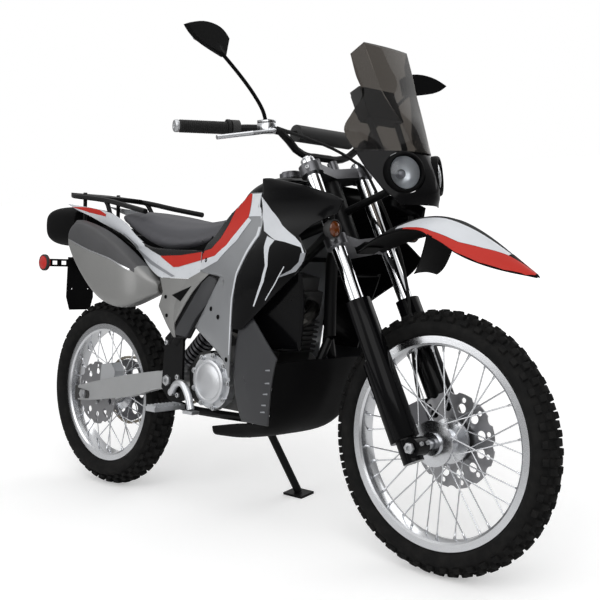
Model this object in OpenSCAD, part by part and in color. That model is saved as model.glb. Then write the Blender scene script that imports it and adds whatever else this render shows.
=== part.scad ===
// Rally-style dual-sport motorcycle, parked on its side stand.
// Millimetres. Forward is +X, the rider's left is +Y, up is +Z.
// Pieces are drawn on the upright machine, rear axle above x = 0, and then leaned over as parked.

/* [Stance] */
// distance between the two axles
wheelbase = 1450; // [1380:5:1520]
// sideways lean on the stand, degrees
lean = 9; // [6:0.5:12]
// steering axis angle from the vertical, degrees
rake = 27; // [24:0.5:30]
// ground trail of the front wheel
trail = 105; // [90:1:120]
// forward shift of the whole drawing to its origin
origin_x = 704; // [640:1:760]
// sideways shift of the whole drawing to its origin
origin_y = 217; // [120:1:300]

/* [Front wheel] */
// tyre height above the rim
front_tyre_h = 69; // [60:1:80]
// tyre half width
front_half = 43; // [36:1:50]
// rim outer radius
front_rim_r = 279; // [265:1:290]
// rim half width
front_rim_half = 28; // [24:1:34]

/* [Rear wheel] */
// tyre height above the rim
rear_tyre_h = 85; // [75:1:95]
// tyre half width
rear_half = 55; // [48:1:60]
// rim outer radius
rear_rim_r = 244; // [230:1:255]
// rim half width
rear_rim_half = 35; // [30:1:40]

/* [Wheel details] */
// spoke radius
spoke_r = 1.9; // [1.5:0.1:2.6]
// spokes in each wheel
spoke_count = 36; // [36:36:36]
// crown radius of both tyres across the tread
crown_r = 48; // [40:1:56]
// lug height on the tyres
lug_height = 11; // [6:1:15]
// lug pitches around each tyre
lug_pitches = 30; // [26:2:34]
// links drawn along the chain
chain_links = 44; // [40:2:46]
// front brake disc radius
front_disc_r = 128; // [110:1:140]
// rear brake disc radius
rear_disc_r = 110; // [95:1:120]
// sprocket pitch radius
sprocket_r = 112; // [95:1:120]

/* [Fork] */
// level of the axle along the steering axis, from the ground
fork_level = 357.7; // [340:0.1:376]
// fork leg distance from the middle
leg_y = 105; // [98:1:112]
// fork leg offset ahead of the steering axis
leg_x = 38; // [32:1:42]
// fork tube radius
tube_r = 20.5; // [18:0.5:24]
// fork slider radius
slider_r = 28; // [25:0.5:31]
// slider top above the axle along the leg
slider_top = 292; // [260:2:320]
// lower clamp height along the steering axis
lower_clamp_z = 578; // [560:2:590]
// upper clamp height along the steering axis
upper_clamp_z = 802; // [790:2:820]
// fork tube top along the steering axis
tube_top = 845; // [836:1:870]

/* [Handlebar] */
// handlebar radius
bar_r = 11.1; // [10:0.1:14]
// grip radius
grip_r = 16; // [14:0.5:19]
// half width over the grips
bar_half = 412; // [380:2:430]
// height of the grips
grip_z = 1166; // [1140:2:1190]

/* [Bodywork] */
// skin thickness of the panels
skin = 4; // [3:0.5:6]
// gap between neighbouring panels
panel_gap = 0.6; // [0.3:0.1:0.9]
// half width of the seat at its widest
seat_half = 138; // [120:1:142]
// half width of the tank at its widest
tank_half = 125; // [110:1:130]
// half width of the tail
tail_half = 96; // [85:1:105]

/* [Swingarm] */
// inner face of each arm from the middle
arm_in = 92; // [88:1:98]
// outer face of each arm from the middle
arm_out = 124; // [118:1:127]
// swingarm pivot position ahead of the rear axle
pivot_x = 485; // [470:1:500]
// swingarm pivot height
pivot_z = 425; // [410:1:440]

/* [Side stand] */
// side stand leg radius
stand_r = 13; // [10:0.5:16]
// stand foot half length
stand_foot = 42; // [30:1:55]

/* [Rack] */
// rack tube radius
rack_r = 9; // [7:0.5:11]
// rack half width
rack_half = 88; // [80:1:100]
// rack plate height above the ground, upright
rack_z = 1027; // [1020:1:1050]
// rack plate slope down to the front, degrees
rack_tilt = 6; // [5:0.5:7]
// rack plate thickness
rack_plate = 8; // [6:0.5:10]
// fixing hole pitch on the rack plate
rack_pitch = 90; // [60:1:110]
// fixing hole radius
rack_hole_r = 3.3; // [2.5:0.1:4.5]
// plate holder fixing hole radius
plate_hole_r = 3; // [2:0.1:4]
// plate holder distance behind the rear axle
plate_back = 226; // [215:1:240]
// room between the rear tyre and the plate holder
plate_clear = 44; // [30:1:60]

/* [Hidden] */
$fn = 48;
seat_gap = 0.3;
front_r = front_rim_r + front_tyre_h;
rear_r = rear_rim_r + rear_tyre_h;
axle_offset = front_r * sin(rake) - trail * cos(rake);
axle_z = (front_r - axle_offset * sin(rake)) / cos(rake) - fork_level;
steer_foot = [wheelbase + trail - fork_level * sin(rake), 0, fork_level * cos(rake)];
ride_lift = crown_r * (1 - cos(lean));
bar_mid = steer_point([8, 0, upper_clamp_z + 82]);
bar_x = wheelbase - 450;
nose_x = wheelbase - 98;
plate_low = rear_r + sqrt(rear_r * rear_r - plate_back * plate_back) + plate_clear;
grip_in = [bar_x - 86, 286, grip_z + 5];
grip_end = [bar_x - 134, bar_half - 2, grip_z];
stand_pivot = [620, 128, 330];
stand_tilt = 24;
stand_reach = [72, 127];

// a point of the steering frame in machine coordinates, z along the steering axis from the fork's level
function steer_point(p) = steer_foot
  + p.x * [cos(rake), 0, sin(rake)] + [0, p.y, 0] + p.z * [-sin(rake), 0, cos(rake)];
function mix(a, b, t) = a + (b - a) * t;
function unit(v) = v / norm(v);
function signed_pow(v, e) = sign(v) * pow(abs(v), e);
function reversed(list) = [for (i = [len(list) - 1:-1:0]) list[i]];
// point of a smooth curve through p1 and p2 with neighbours p0 and p3
function curve_at(p0, p1, p2, p3, t) = 0.5 * (2 * p1 + (p2 - p0) * t
  + (2 * p0 - 5 * p1 + 4 * p2 - p3) * t * t + (3 * p1 - p0 - 3 * p2 + p3) * t * t * t);
// smooth path through all points, steps pieces between neighbours
function smooth(pts, steps) = concat(
  [for (i = [0:len(pts) - 2]) for (s = [0:steps - 1])
    curve_at(pts[max(i - 1, 0)], pts[i], pts[i + 1], pts[min(i + 2, len(pts) - 1)], s / steps)],
  [pts[len(pts) - 1]]);
// flips a point to the machine's right
function to_right(pts) = [for (p = pts) [p.x, -p.y, p.z]];

// leans the upright machine over onto its stand
module parked() {
  translate([-origin_x, -origin_y, ride_lift]) rotate([-lean, 0, 0]) children();
}

// places children in the steering frame
module steered() {
  translate(steer_foot) rotate([0, -rake, 0]) children();
}

// repeats children on both sides
module both_sides() {
  children();
  mirror([0, 1, 0]) children();
}

// round bar from a to b
module rod(a, b, r) {
  d = b - a;
  translate(a) rotate([0, acos(d.z / norm(d)), atan2(d.y, d.x)]) cylinder(h = norm(d), r = r);
}

// chain of round bars with ball corners
module bars(pts, r) {
  for (i = [0:len(pts) - 2]) rod(pts[i], pts[i + 1], r);
  if (len(pts) > 2) for (i = [1:len(pts) - 2]) translate(pts[i]) sphere(r * 1.06);
}

// side profile in x and z drawn out from y0 to y1
module side_plate(outline, y0, y1) {
  translate([0, y1, 0]) rotate([90, 0, 0]) linear_extrude(y1 - y0) polygon(outline);
}

// closed body through rings of points that run anticlockwise as seen from the front
module loft(rings) {
  n = len(rings);
  m = len(rings[0]);
  polyhedron(
    points = [for (r = rings) for (p = r) p],
    faces = concat(
      [for (i = [0:n - 2]) for (j = [0:m - 1]) [i * m + j, (i + 1) * m + j, (i + 1) * m + (j + 1) % m]],
      [for (i = [0:n - 2]) for (j = [0:m - 1]) [i * m + j, (i + 1) * m + (j + 1) % m, i * m + (j + 1) % m]],
      [[for (j = [0:m - 1]) j]],
      [[for (j = [m - 1:-1:0]) (n - 1) * m + j]]),
    convexity = 6);
}

// round hose or tube along a path that never runs along ref, with flat ends
module sweep(path, r, sides = 10, ref = [0, 0, 1]) {
  n = len(path);
  along = [for (i = [0:n - 1]) unit(path[min(i + 1, n - 1)] - path[max(i - 1, 0)])];
  loft([for (i = [0:n - 1])
    let (side = unit(cross(along[i], ref)), up = cross(side, along[i]))
    [for (j = [0:sides - 1]) path[i] - r * (cos(360 * j / sides) * side - sin(360 * j / sides) * up)]]);
}

// skin through rows of points, as thick as back; rows run clockwise as seen from outside
module sheet(grid, back) {
  shell(grid, [for (r = grid) [for (p = r) p + back]]);
}

// closed skin between an outer and an inner grid of points
module shell(outer, inner) {
  n = len(outer);
  m = len(outer[0]);
  size = n * m;
  polyhedron(
    points = concat([for (r = outer) for (p = r) p], [for (r = inner) for (p = r) p]),
    faces = concat(
      [for (i = [0:n - 2]) for (j = [0:m - 2]) [i * m + j, (i + 1) * m + j, (i + 1) * m + j + 1]],
      [for (i = [0:n - 2]) for (j = [0:m - 2]) [i * m + j, (i + 1) * m + j + 1, i * m + j + 1]],
      [for (i = [0:n - 2]) for (j = [0:m - 2])
        [size + i * m + j, size + (i + 1) * m + j + 1, size + (i + 1) * m + j]],
      [for (i = [0:n - 2]) for (j = [0:m - 2])
        [size + i * m + j, size + i * m + j + 1, size + (i + 1) * m + j + 1]],
      [for (j = [0:m - 2]) each split(j, j + 1, size)],
      [for (j = [0:m - 2]) each split((n - 1) * m + j + 1, (n - 1) * m + j, size)],
      [for (i = [0:n - 2]) each split((i + 1) * m, i * m, size)],
      [for (i = [0:n - 2]) each split(i * m + m - 1, (i + 1) * m + m - 1, size)]),
    convexity = 8);
}

// two triangles that close a skin's edge from point a to point b
function split(a, b, size) = quad(a, b, b + size, a + size);
// two triangles across four corners
function quad(a, b, c, d) = [[a, b, c], [a, c, d]];
// grid moved inward by depth, square to its face
function inset(grid, depth) = let (n = len(grid) - 1, m = len(grid[0]) - 1) [for (i = [0:n]) [for (j = [0:m])
  let (down = grid[min(i + 1, n)][j] - grid[max(i - 1, 0)][j],
    over = grid[i][min(j + 1, m)] - grid[i][max(j - 1, 0)])
  grid[i][j] + depth * unit(cross(down, over))]];

// side skin from rows of z, rear x, front x, rear y, front y and bulge
module side_skin(rows, cols = 5) {
  sheet([for (r = rows) [for (k = [0:cols]) let (u = k / cols)
    [mix(r[1], r[2], u), mix(r[3], r[4], u) + r[5] * 4 * u * (1 - u), r[0]]]], [0, -skin, 0]);
}

// rounded cross ring at x between z0 and z1, corner power e
function body_ring(x, half, z0, z1, e, y = 0, sides = 20) = [for (j = [0:sides - 1])
  let (a = 360 * j / sides)
  [x, y + half * signed_pow(cos(a), e), (z0 + z1) / 2 + (z1 - z0) / 2 * signed_pow(sin(a), e)]];

// wheel pieces turn about y at an axle
module on_axle(x, z) {
  translate([x, 0, z]) rotate([-90, 0, 0]) children();
}

// tyre from the rim bed to the lug tips, broad middle lugs in turn with pairs of shoulder lugs
module tyre(r, half, rim_r, rim_half) {
  n = 2 * lug_pitches;
  bead = rim_half - 3.6;
  wall = [[(rim_r - 15.9) / cos(180 / n), bead], [rim_r + 3, bead + 0.3], [mix(rim_r, r, 0.45), half - 1]];
  tread = [[r - 0.5 * half, half - 2], [r - 0.17 * half, 0.58 * half],
    each [for (a = [26, lean]) [r - crown_r * (1 - cos(a)), crown_r * sin(a)]]];
  tips = concat(tread, reversed([for (p = tread) [p.x, -p.y]]));
  roots = [for (p = tips) p - lug_height * unit(p - [r - crown_r, 0])];
  loop = concat(wall, roots, reversed([for (p = wall) [p.x, -p.y]]));
  m = len(loop);
  polyhedron(
    points = concat([for (i = [0:n - 1]) for (p = loop) spun(p, 360 * i / n)],
      [for (i = [0:n - 1]) for (p = tips) spun(p, 360 * i / n)]),
    faces = [for (i = [0:n - 1]) for (k = [0:m - 1])
      let (next = (i + 1) % n, a = i * m + k, b = next * m + k, c = next * m + (k + 1) % m,
        d = i * m + (k + 1) % m)
      each is_lug(i, k) ? lug(a, b, c, d, n * m + i * 8 + k - 3, n * m + next * 8 + k - 3,
        !is_lug(i, k - 1), !is_lug(i, k + 1)) : quad(a, b, c, d)],
    convexity = 10);
}

// profile point of a wheel turned to an angle
function spun(p, angle) = [p.x * cos(angle), p.x * sin(angle), p.y];
// pitches hold shoulder lugs and middle lugs in turn
function is_lug(pitch, k) = pitch % 2 == 0 ? k == 3 || k == 9 : k >= 5 && k <= 7;
// walls and top of a lug over four root corners, t and u its first tips on both ends
function lug(a, b, c, d, t, u, left, right) = concat(quad(t, u, u + 1, t + 1), quad(b, c, u + 1, u),
  quad(d, a, t, t + 1), left ? quad(a, b, u, t) : [], right ? quad(c, d, t + 1, u + 1) : []);

// rim section with a well, two flanges and a spoke bed
module rim(rim_r, rim_half) {
  bed = rim_r - 16.2;
  side = [[bed - 12, 9], [bed - 8, rim_half - 4], [bed - 2, rim_half], [rim_r, rim_half], [rim_r, rim_half - 3],
    [bed, rim_half - 3.3]];
  rotate_extrude($fn = 96) polygon(concat(side, reversed([for (p = side) [p.x, -p.y]])));
}

// hub with two spoke flanges, a bore for the axle and the spokes laced to the rim
module laced_hub(profile, bore, flange_r, flange_z, rim_bed) {
  difference() {
    union() {
      rotate_extrude($fn = 64) polygon(profile);
      for (side = [0, 1]) for (hole = [0:spoke_count / 2 - 1]) {
        lead = hole % 2 == 0 ? 1 : -1;
        a = hole * 720 / spoke_count + side * 360 / spoke_count;
        b = a + lead * 40;
        z = side == 0 ? 1 : -1;
        rod([flange_r * cos(a), flange_r * sin(a), z * (flange_z + lead * 2)],
          [rim_bed * cos(b), rim_bed * sin(b), z * (7 + lead * 2.5)], spoke_r);
      }
    }
    translate([0, 0, -200]) cylinder(h = 400, r = bore);
  }
}

// brake disc with scallops and vent holes
module wave_disc(r, bore, petals) {
  linear_extrude(4) difference() {
    circle(r, $fn = 96);
    circle(bore);
    for (i = [0:petals - 1]) rotate(i * 360 / petals) {
      translate([r + 10, 0]) circle(17);
      rotate(180 / petals) translate([r * 0.88, 0]) circle(r * 0.055);
      rotate(180 / petals) translate([r * 0.7, 0]) circle(r * 0.1);
    }
  }
}

// path of the left spar from the steering head to the swingarm pivot
SPAR = smooth([steer_point([-12, 18, 690]), [756, 138, 778], [572, 132, 600], [520, 132, 545]], 3);
// path of the down tube in front of the engine
DOWN_TUBE = smooth([steer_point([-26, 0, 655]), steer_point([-84, 0, 596]), [1046, 0, 600]], 2);
// path of the left tube under the engine
CRADLE = smooth([[1044, 2, 590], [1020, 48, 470], [960, 66, 362], [900, 72, 340], [586, 88, 334],
  [518, 126, 352]], 3);

// spars and down tube
module spars() {
  both_sides() sweep(SPAR, 17, 12, [0, 1, 0.5]);
  sweep(DOWN_TUBE, 18, 12, [0, 1, 0]);
}

// room that other tubes leave around the spars and the down tube
module spar_room() {
  both_sides() bars(SPAR, 17 + seat_gap);
  bars(DOWN_TUBE, 18 + seat_gap);
}

// plates at the swingarm pivot, as thick as drawn plus grow
module pivot_plates(grow = 0) {
  both_sides() side_plate([[455, 400], [470, 560], [520, 600], [560, 590], [556, 420], [575, 372], [520, 356],
    [490, 366]], 132 - grow, 141 + grow);
}

// steering head tube, as thick as drawn plus grow
module head_tube(grow = 0) {
  steered() translate([0, 0, lower_clamp_z + 34])
    cylinder(h = upper_clamp_z - lower_clamp_z - 38, r = 31 + grow);
}

// main frame
module frame() {
  color("#17181a") parked() difference() {
    union() {
      head_tube();
      spars();
      pivot_plates();
      rod([566, -130, 604], [566, 130, 604], 12);
      both_sides() rod([848, 100, 818], [848, 192.6, 818], 8);
    }
    steered() translate([0, 0, lower_clamp_z]) cylinder(h = upper_clamp_z - lower_clamp_z, r = 16.5);
    translate([pivot_x, 0, pivot_z]) rotate([90, 0, 0]) cylinder(h = 400, r = 12, center = true);
  }
}

// cradle under the engine with engine bosses and the side stand's boss
module frame_cradle() {
  color("#17181a") parked() difference() {
    union() {
      both_sides() sweep(CRADLE, 13, 10, [0, 1, 0]);
      translate(stand_pivot) rotate([stand_tilt - 90, 0, 0]) translate([0, 0, -44]) cylinder(h = 32.6, r = 16);
      both_sides() rod([800, 77, 338], [800, 77, 358.6], 11);
    }
    spar_room();
    pivot_plates(seat_gap);
  }
}

// rails and struts under the seat
module seat_frame() {
  color("#17181a") parked() difference() {
    union() {
      both_sides() {
        bars([[756, 130, 776], [420, 100, 788], [150, 86, 888], [-122.6, 70, 918]], 11);
        rod([552, 122, 588], [262, 80, 838], 10);
      }
      rod([262, -84, 840], [262, 84, 840], 8);
      rod([-60, -72, 912], [-60, 72, 912], 9);
      rod([430, -98, 790], [430, 98, 790], 9);
      both_sides() rod([430, 50, 790], [430, 50, 825.9], 10);
      rod([340, -90, 771], [340, -128.2, 771], 8);
      both_sides() rod([500, 106, 786], [500, 152, 786], 7);
    }
    spar_room();
  }
}

// stay that carries the nose, screen and instrument
module fairing_stay() {
  color("#17181a") parked() difference() {
    union() {
      bars([steer_point([20, 0, 700]), [nose_x - 94, 0, 1010]], 11);
      both_sides() bars([[nose_x - 94, -6, 1010], [nose_x - 52.6, 45.7, 1039.9],
        [nose_x - 129.4, 60, 1196.8]], 8);
    }
    head_tube(seat_gap);
  }
}

// crankcase, finned cylinder and head
module engine() {
  color("#1d1e20") parked() {
    side_plate([[640, 362], [660, 520], [700, 545], [800, 560], [930, 500], [950, 430], [920, 370], [860, 358]],
      -112, 112);
    side_plate([[556, 380], [548, 470], [600, 520], [650, 530], [650, 365], [590, 362]], -105, 52);
    translate([840, 0, 520]) rotate([0, 12, 0]) {
      translate([-62, -64, 0]) cube([124, 128, 150]);
      for (k = [0:6]) translate([-72, -74, 34 + k * 15]) cube([144, 148, 6]);
      translate([-66, -72, 148]) cube([132, 144, 72]);
      translate([-54, -60, 218]) cube([108, 120, 42]);
      translate([62, 0, 185]) rotate([0, 90, 0]) cylinder(h = 22, r = 26);
    }
    translate([580, 50, 432]) rotate([-90, 0, 0]) cylinder(h = 32, r = 14);
    translate([580, 67, 432]) rotate([-90, 0, 0]) cylinder(h = 6, r = 29.6);
  }
}

// round clutch cover on the right and flywheel cover on the left
module engine_covers() {
  color("#b9bcc0") parked() {
    translate([692, -112 - seat_gap, 442]) rotate([90, 0, 0]) {
      cylinder(h = 26, r = 84);
      cylinder(h = 38, r = 66);
      for (i = [0:8]) rotate(i * 40) translate([79, 0, 0]) cylinder(h = 32, r = 9);
    }
    translate([745, 112 + seat_gap, 440]) rotate([-90, 0, 0]) {
      cylinder(h = 26, r = 78);
      cylinder(h = 36, r = 58);
    }
  }
}

// header and link pipe from the head to the silencer
module exhaust_pipe() {
  path = [[962.4, 0, 683.3], [988, -6, 677], [1012, -46, 658], [1000, -86, 624], [940, -100, 594],
    [840, -98, 586], [720, -94, 602], [600, -96, 650], [530, -112, 692], [480, -130, 716], [438.2, -130, 716]];
  color("#77797c") parked() sweep(smooth(path, 2), 18, 10);
}

// canister with its shell, rings of x, low z, high z, inner y and outer y
module silencer() {
  rings = [[-12, 862, 884, 150, 190], [-2, 838, 905, 138, 200], [36, 790, 936, 128, 208],
    [110, 715, 920, 126, 212], [190, 658, 894, 126, 213], [300, 640, 840, 128, 212],
    [370, 662, 790, 128, 206], [418, 688, 748, 116, 172], [436, 697, 735, 111, 149]];
  color("#c4c6c8") parked() mirror([0, 1, 0]) loft([for (r = rings)
    body_ring(r[0], (r[4] - r[3]) / 2, r[1], r[2], 0.5, (r[3] + r[4]) / 2, 24)]);
}

// box-section swingarm with pivot tube and cross brace
module swingarm() {
  arm = [[-46, rear_r - 25], [-46, rear_r + 23], [30, rear_r + 43], [250, 420], [410, 447],
    [pivot_x + 20, pivot_z + 26], [pivot_x + 26, pivot_z], [pivot_x + 16, pivot_z - 26], [410, 388], [250, 344],
    [30, rear_r - 19]];
  color("#a9acaf") parked() difference() {
    union() {
      both_sides() side_plate(arm, arm_in, arm_out);
      translate([pivot_x, 0, pivot_z]) rotate([90, 0, 0])
        cylinder(h = 2 * (arm_out + 5), r = 24, center = true);
      translate([376, -arm_in - 2, 384]) cube([40, 2 * arm_in + 4, 50]);
      translate([384, -22, 430]) cube([40, 14, 40]);
      translate([384, 8, 430]) cube([40, 14, 40]);
      translate([pivot_x, 0, pivot_z]) rotate([90, 0, 0]) cylinder(h = 282, r = 12 - seat_gap, center = true);
      translate([404, 0, 456]) rotate([90, 0, 0]) cylinder(h = 52, r = 6, center = true);
    }
    translate([0, 0, rear_r]) rotate([90, 0, 0]) cylinder(h = 400, r = 10.3, center = true);
  }
}

// rear axle with its nuts
module rear_axle() {
  color("#55585b") parked() on_axle(0, rear_r) {
    translate([0, 0, -arm_out - 14]) cylinder(h = 2 * arm_out + 28, r = 10);
    for (z = [arm_out + seat_gap, -arm_out - seat_gap - 10]) translate([0, 0, z])
      cylinder(h = 10, r = 17, $fn = 6);
    translate([0, 0, 67.2]) cylinder(h = arm_in - 67.5, r = 15);
    translate([0, 0, -arm_in + seat_gap]) cylinder(h = arm_in - 64.5, r = 15);
  }
}

// spring and damper between swingarm and frame
module rear_shock() {
  low = [404, 0, 456];
  high = [566, 0, 604];
  color("#5a5d60") parked() difference() {
    union() {
      rod(low, high, 7);
      rod(mix(low, high, 0.16), mix(low, high, 0.2), 36);
      rod(mix(low, high, 0.76), mix(low, high, 0.8), 36);
      for (k = [0:6]) rod(mix(low, high, 0.225 + 0.075 * k), mix(low, high, 0.265 + 0.075 * k), 33);
      rod(mix(low, high, 0.2), mix(low, high, 0.8), 22);
      translate(low) rotate([90, 0, 0]) cylinder(h = 15, r = 15, center = true);
      translate(high) rotate([90, 0, 0]) cylinder(h = 30, r = 21, center = true);
    }
    translate(low) rotate([90, 0, 0]) cylinder(h = 100, r = 6 + seat_gap, center = true);
    translate(high) rotate([90, 0, 0]) cylinder(h = 100, r = 12 + seat_gap, center = true);
  }
}

// two-piece caliper on the right arm, open around the disc
module rear_caliper() {
  slot = 66;
  color("#b4b7ba") parked() difference() {
    side_plate([[48, rear_r + 45], [56, rear_r + 107], [112, rear_r + 117], [136, rear_r + 91],
      [128, rear_r + 57]], -arm_in + seat_gap, -52);
    on_axle(0, rear_r) translate([0, 0, -slot - 7]) cylinder(h = 14, r = rear_disc_r + 6);
  }
}

// drive chain around both sprockets, waisted between its links
module chain() {
  outer = [for (i = [0:2 * chain_links - 1]) belt_point(i / 2 / chain_links, i % 2 == 0 ? 6 : 3.4)];
  inner = [for (i = [0:2 * chain_links - 1]) belt_point(i / 2 / chain_links, i % 2 == 0 ? -4 : -1.8)];
  color("#6e6a60") parked() translate([0, 63, 0]) rotate([90, 0, 0]) translate([0, 0, -14]) linear_extrude(14)
    difference() {
      polygon(outer);
      polygon(inner);
    }
}

// point at a share of the chain's length, set off outward, from the front sprocket over the top run
function belt_point(share, off) =
  let (front = [580, 432], rear = [0, rear_r], small = 34, big = sprocket_r + 6, span = front - rear,
    turn = atan2(span.y, span.x), tilt = asin((big - small) / norm(span)), run = norm(span) * cos(tilt),
    wrap_front = small * (180 - 2 * tilt) * PI / 180, wrap_rear = big * (180 + 2 * tilt) * PI / 180,
    s = share * (wrap_front + wrap_rear + 2 * run), top = turn + 90 - tilt, low = turn - 90 + tilt,
    square_top = [cos(top), sin(top)], square_low = [cos(low), sin(low)])
  s < wrap_front ? let (a = low + (180 - 2 * tilt) * s / wrap_front) front + (small + off) * [cos(a), sin(a)]
  : s < wrap_front + run ? front + (small + off) * square_top + (s - wrap_front) * [-sin(top), cos(top)]
  : s < wrap_front + run + wrap_rear ?
    let (a = top + (180 + 2 * tilt) * (s - wrap_front - run) / wrap_rear) rear + (big + off) * [cos(a), sin(a)]
  : rear + (big + off) * square_low + (s - wrap_front - run - wrap_rear) * [-sin(low), cos(low)];

// tank, rings of x, half width as a share, low z and high z
module fuel_tank() {
  rings = [[746, 0.62, 900, 972], [765, 0.8, 886, 1006], [800, 0.92, 884, 1034], [850, 1, 886, 1052],
    [900, 1, 896, 1060], [930, 0.86, 908, 1056], [946, 0.62, 922, 1044]];
  color("#101113") parked() loft([for (r = rings) body_ring(r[0], r[1] * tank_half, r[2], r[3], 0.62)]);
}

// round filler cap
module fuel_cap() {
  color("#26282b") parked() translate([875, 0, 1056.6]) rotate([0, -8, 0]) {
    cylinder(h = 14, r = 34);
    cylinder(h = 19, r = 27);
  }
}

// stepped seat, rings of x, half width as a share, low z and high z
module seat() {
  rings = [[146, 0.6, 934, 962], [170, 0.7, 922, 968], [270, 0.84, 878, 958], [350, 0.94, 846, 948],
    [430, 1, 826, 934], [540, 1, 830, 920], [640, 0.86, 848, 926], [705, 0.68, 884, 946],
    [745.6, 0.6, 930, 966]];
  color("#3a3b3e") parked() loft([for (r = rings) body_ring(r[0], r[1] * seat_half, r[2], r[3], 0.55)]);
}

// rows of the side panels: z, rear x, front x, rear y, front y, bulge
SIDE_ROWS = [[1006, 838, 890, 131, 132, 1], [972, 800, 884, 134, 136, 2], [938, 752, 917, 138, 150, 5],
  [905, 728, 934, 142, 172, 6],
  [879, 708, 943, 148, 190, 6], [852, 668, 926, 152, 200, 6], [820, 657, 905, 156, 206, 6],
  [772, 657, 875, 160, 206, 5], [760, 764, 867, 176, 205, 3], [700, 714, 850, 168, 201, 4],
  [655, 680, 844, 164, 198, 4], [603, 637, 839, 160, 195, 6], [570, 690, 835, 163, 193, 5],
  [535, 765, 831, 172, 191, 3], [500, 802, 829, 180, 190, 1], [469, 820, 827, 187, 189, 0]];

// silver side panels under the tank
module side_panels() {
  color("#a3a6aa") parked() both_sides() side_skin(SIDE_ROWS);
}

// rows of the shrouds: z, front x, front y, bulge; the rear edge follows the side panels
SHROUD_ROWS = [[1046, 930, 139, 3], [1018, 1090, 168, 10], [1006, 1136, 171, 10], [985, 1215, 175, 10],
  [972, 1242, 178, 6], [938, 1230, 186, 6], [905, 1150, 212, 6], [879, 1132, 228, 6], [852, 1158, 240, 6],
  [828, 1181, 246, 6], [800, 1166, 246, 6], [772, 1134, 243, 6], [760, 1114, 240, 6], [730, 1064, 232, 6],
  [700, 1020, 224, 4], [655, 952, 212, 3], [612, 890, 203, 1]];

// black tank shrouds running forward to a nose
module shrouds() {
  edge_x = [for (r = reversed(SIDE_ROWS)) [r[0], r[2]]];
  edge_y = [for (r = reversed(SIDE_ROWS)) [r[0], r[4]]];
  rows = [for (r = SHROUD_ROWS)
    [r[0], lookup(r[0], edge_x) + panel_gap, r[1], lookup(r[0], edge_y), r[2], r[3]]];
  inner = [[780, 884, 1090, 204, 172, 0], [720, 870, 1084, 184, 150, 0], [640, 864, 1064, 178, 132, 0],
    [560, 860, 1048, 174, 124, 0]];
  color("#121315") parked() both_sides() {
    side_skin(rows, 6);
    side_skin(inner, 4);
  }
}

// dark lower cowls, rows of z, rear x, front x, rear y, front y, bulge
module lower_cowls() {
  rows = [[688, 876, 888, 199.5, 202, 0], [640, 868, 944, 200, 212, 3], [590, 858, 990, 198, 214, 5],
    [540, 846, 1033, 196, 210, 6], [522, 842, 1022, 195, 208, 6], [440, 832, 996, 186, 198, 6],
    [362, 844, 975, 172, 180, 4], [342, 850, 964, 166, 172, 2]];
  color("#3c3e41") parked() both_sides() {
    translate([0, -10, 0]) side_skin(rows);
    rod([900, 112 + seat_gap, 470], [900, 189, 470], 9);
  }
}

// white and red tail side panels, rows of z, rear x, front x, rear y, front y, bulge
module tail_panels() {
  split_x = 657 - panel_gap;
  rows = [[1000, -172, -164, 92, 92, 0], [988, -138, -56, 94, 96, 1], [975, -98, 48, 95, 99, 1],
    [960, -42, 120, 97, 103, 1], [942, 18, 168, 99, 108, 2], [925, 66, 215, 101, 112, 3],
    [892, 190, 262, 112, 120, 4], [860, 262, 330, 122, 130, 4], [842, 292, 390, 126, 137, 4],
    [836, 300, split_x, 128, 154, 8], [822, 330, split_x, 132, 156, 8], [790, 366, split_x, 140, 159, 8],
    [772, 400, split_x, 146, 160, 6], [750, 440, 610, 150, 160, 5]];
  color("#d9dadb") parked() both_sides() side_skin(rows, 6);
}

// silver covers behind the engine, rows of z, rear x, front x, rear y, front y, bulge
module frame_covers() {
  rows = [[750 - panel_gap, 450, 600, 151.5, 160, 4], [706, 474, 558, 157.5, 160, 2],
    [660, 454, 532, 158, 160, 2], [610, 492, 536, 160, 161, 1], [566, 534, 544, 161, 161.5, 0]];
  color("#c4c6c8") parked() both_sides() side_skin(rows);
}

// guard under and in front of the engine, rows of the middle's x and z, then x, y and z of the turn and the lip
module belly_pan() {
  rows = [[1060, 534, 1048, 100, 534, 1023, 191, 524], [1056, 480, 1040, 102, 480, 1007, 185, 472],
    [1036, 420, 1014, 106, 416, 990, 175, 414], [993, 350, 978, 112, 338, 977, 162, 364],
    [930, 303, 920, 112, 303, 930, 150, 337], [850, 286, 850, 104, 292, 850, 140, 334],
    [750, 268, 750, 94, 274, 750, 114, 316], [650, 262, 650, 80, 267, 650, 94, 296]];
  outer = [for (r = rows) guard_row(r)];
  color("#1b1c1e") parked() {
    shell(outer, inset(outer, skin));
    difference() {
      both_sides() rod([800, 77, 280], [800, 77, 335], 8);
      both_sides() bars(CRADLE, 13 + seat_gap);
    }
  }
}

// one row of the guard from the left lip to the right lip
function guard_row(r) = let (middle = [r[0], 0, r[1]], turn = [r[2], r[3], r[4]], lip = [r[5], r[6], r[7]],
  left = smooth([lip, turn, middle], 3), right = reversed(to_right(left)))
  concat(left, [for (i = [1:len(right) - 1]) right[i]]);

// tail housing over the rear wheel, rings of x, half width as a share, low z and high z
module rear_mudguard() {
  rings = [[-380, 0.34, 912, 954], [-372, 0.58, 884, 970], [-340, 0.78, 858, 988], [-270, 0.9, 846, 997],
    [-180, 1, 852, 994], [-124, 1, 862, 984]];
  color("#1a1b1d") parked() {
    loft([for (r = rings) body_ring(r[0], r[1] * tail_half, r[2], r[3], 0.6)]);
    translate([-200, -50, 808]) cube([60, 100, 60]);
  }
}

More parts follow.
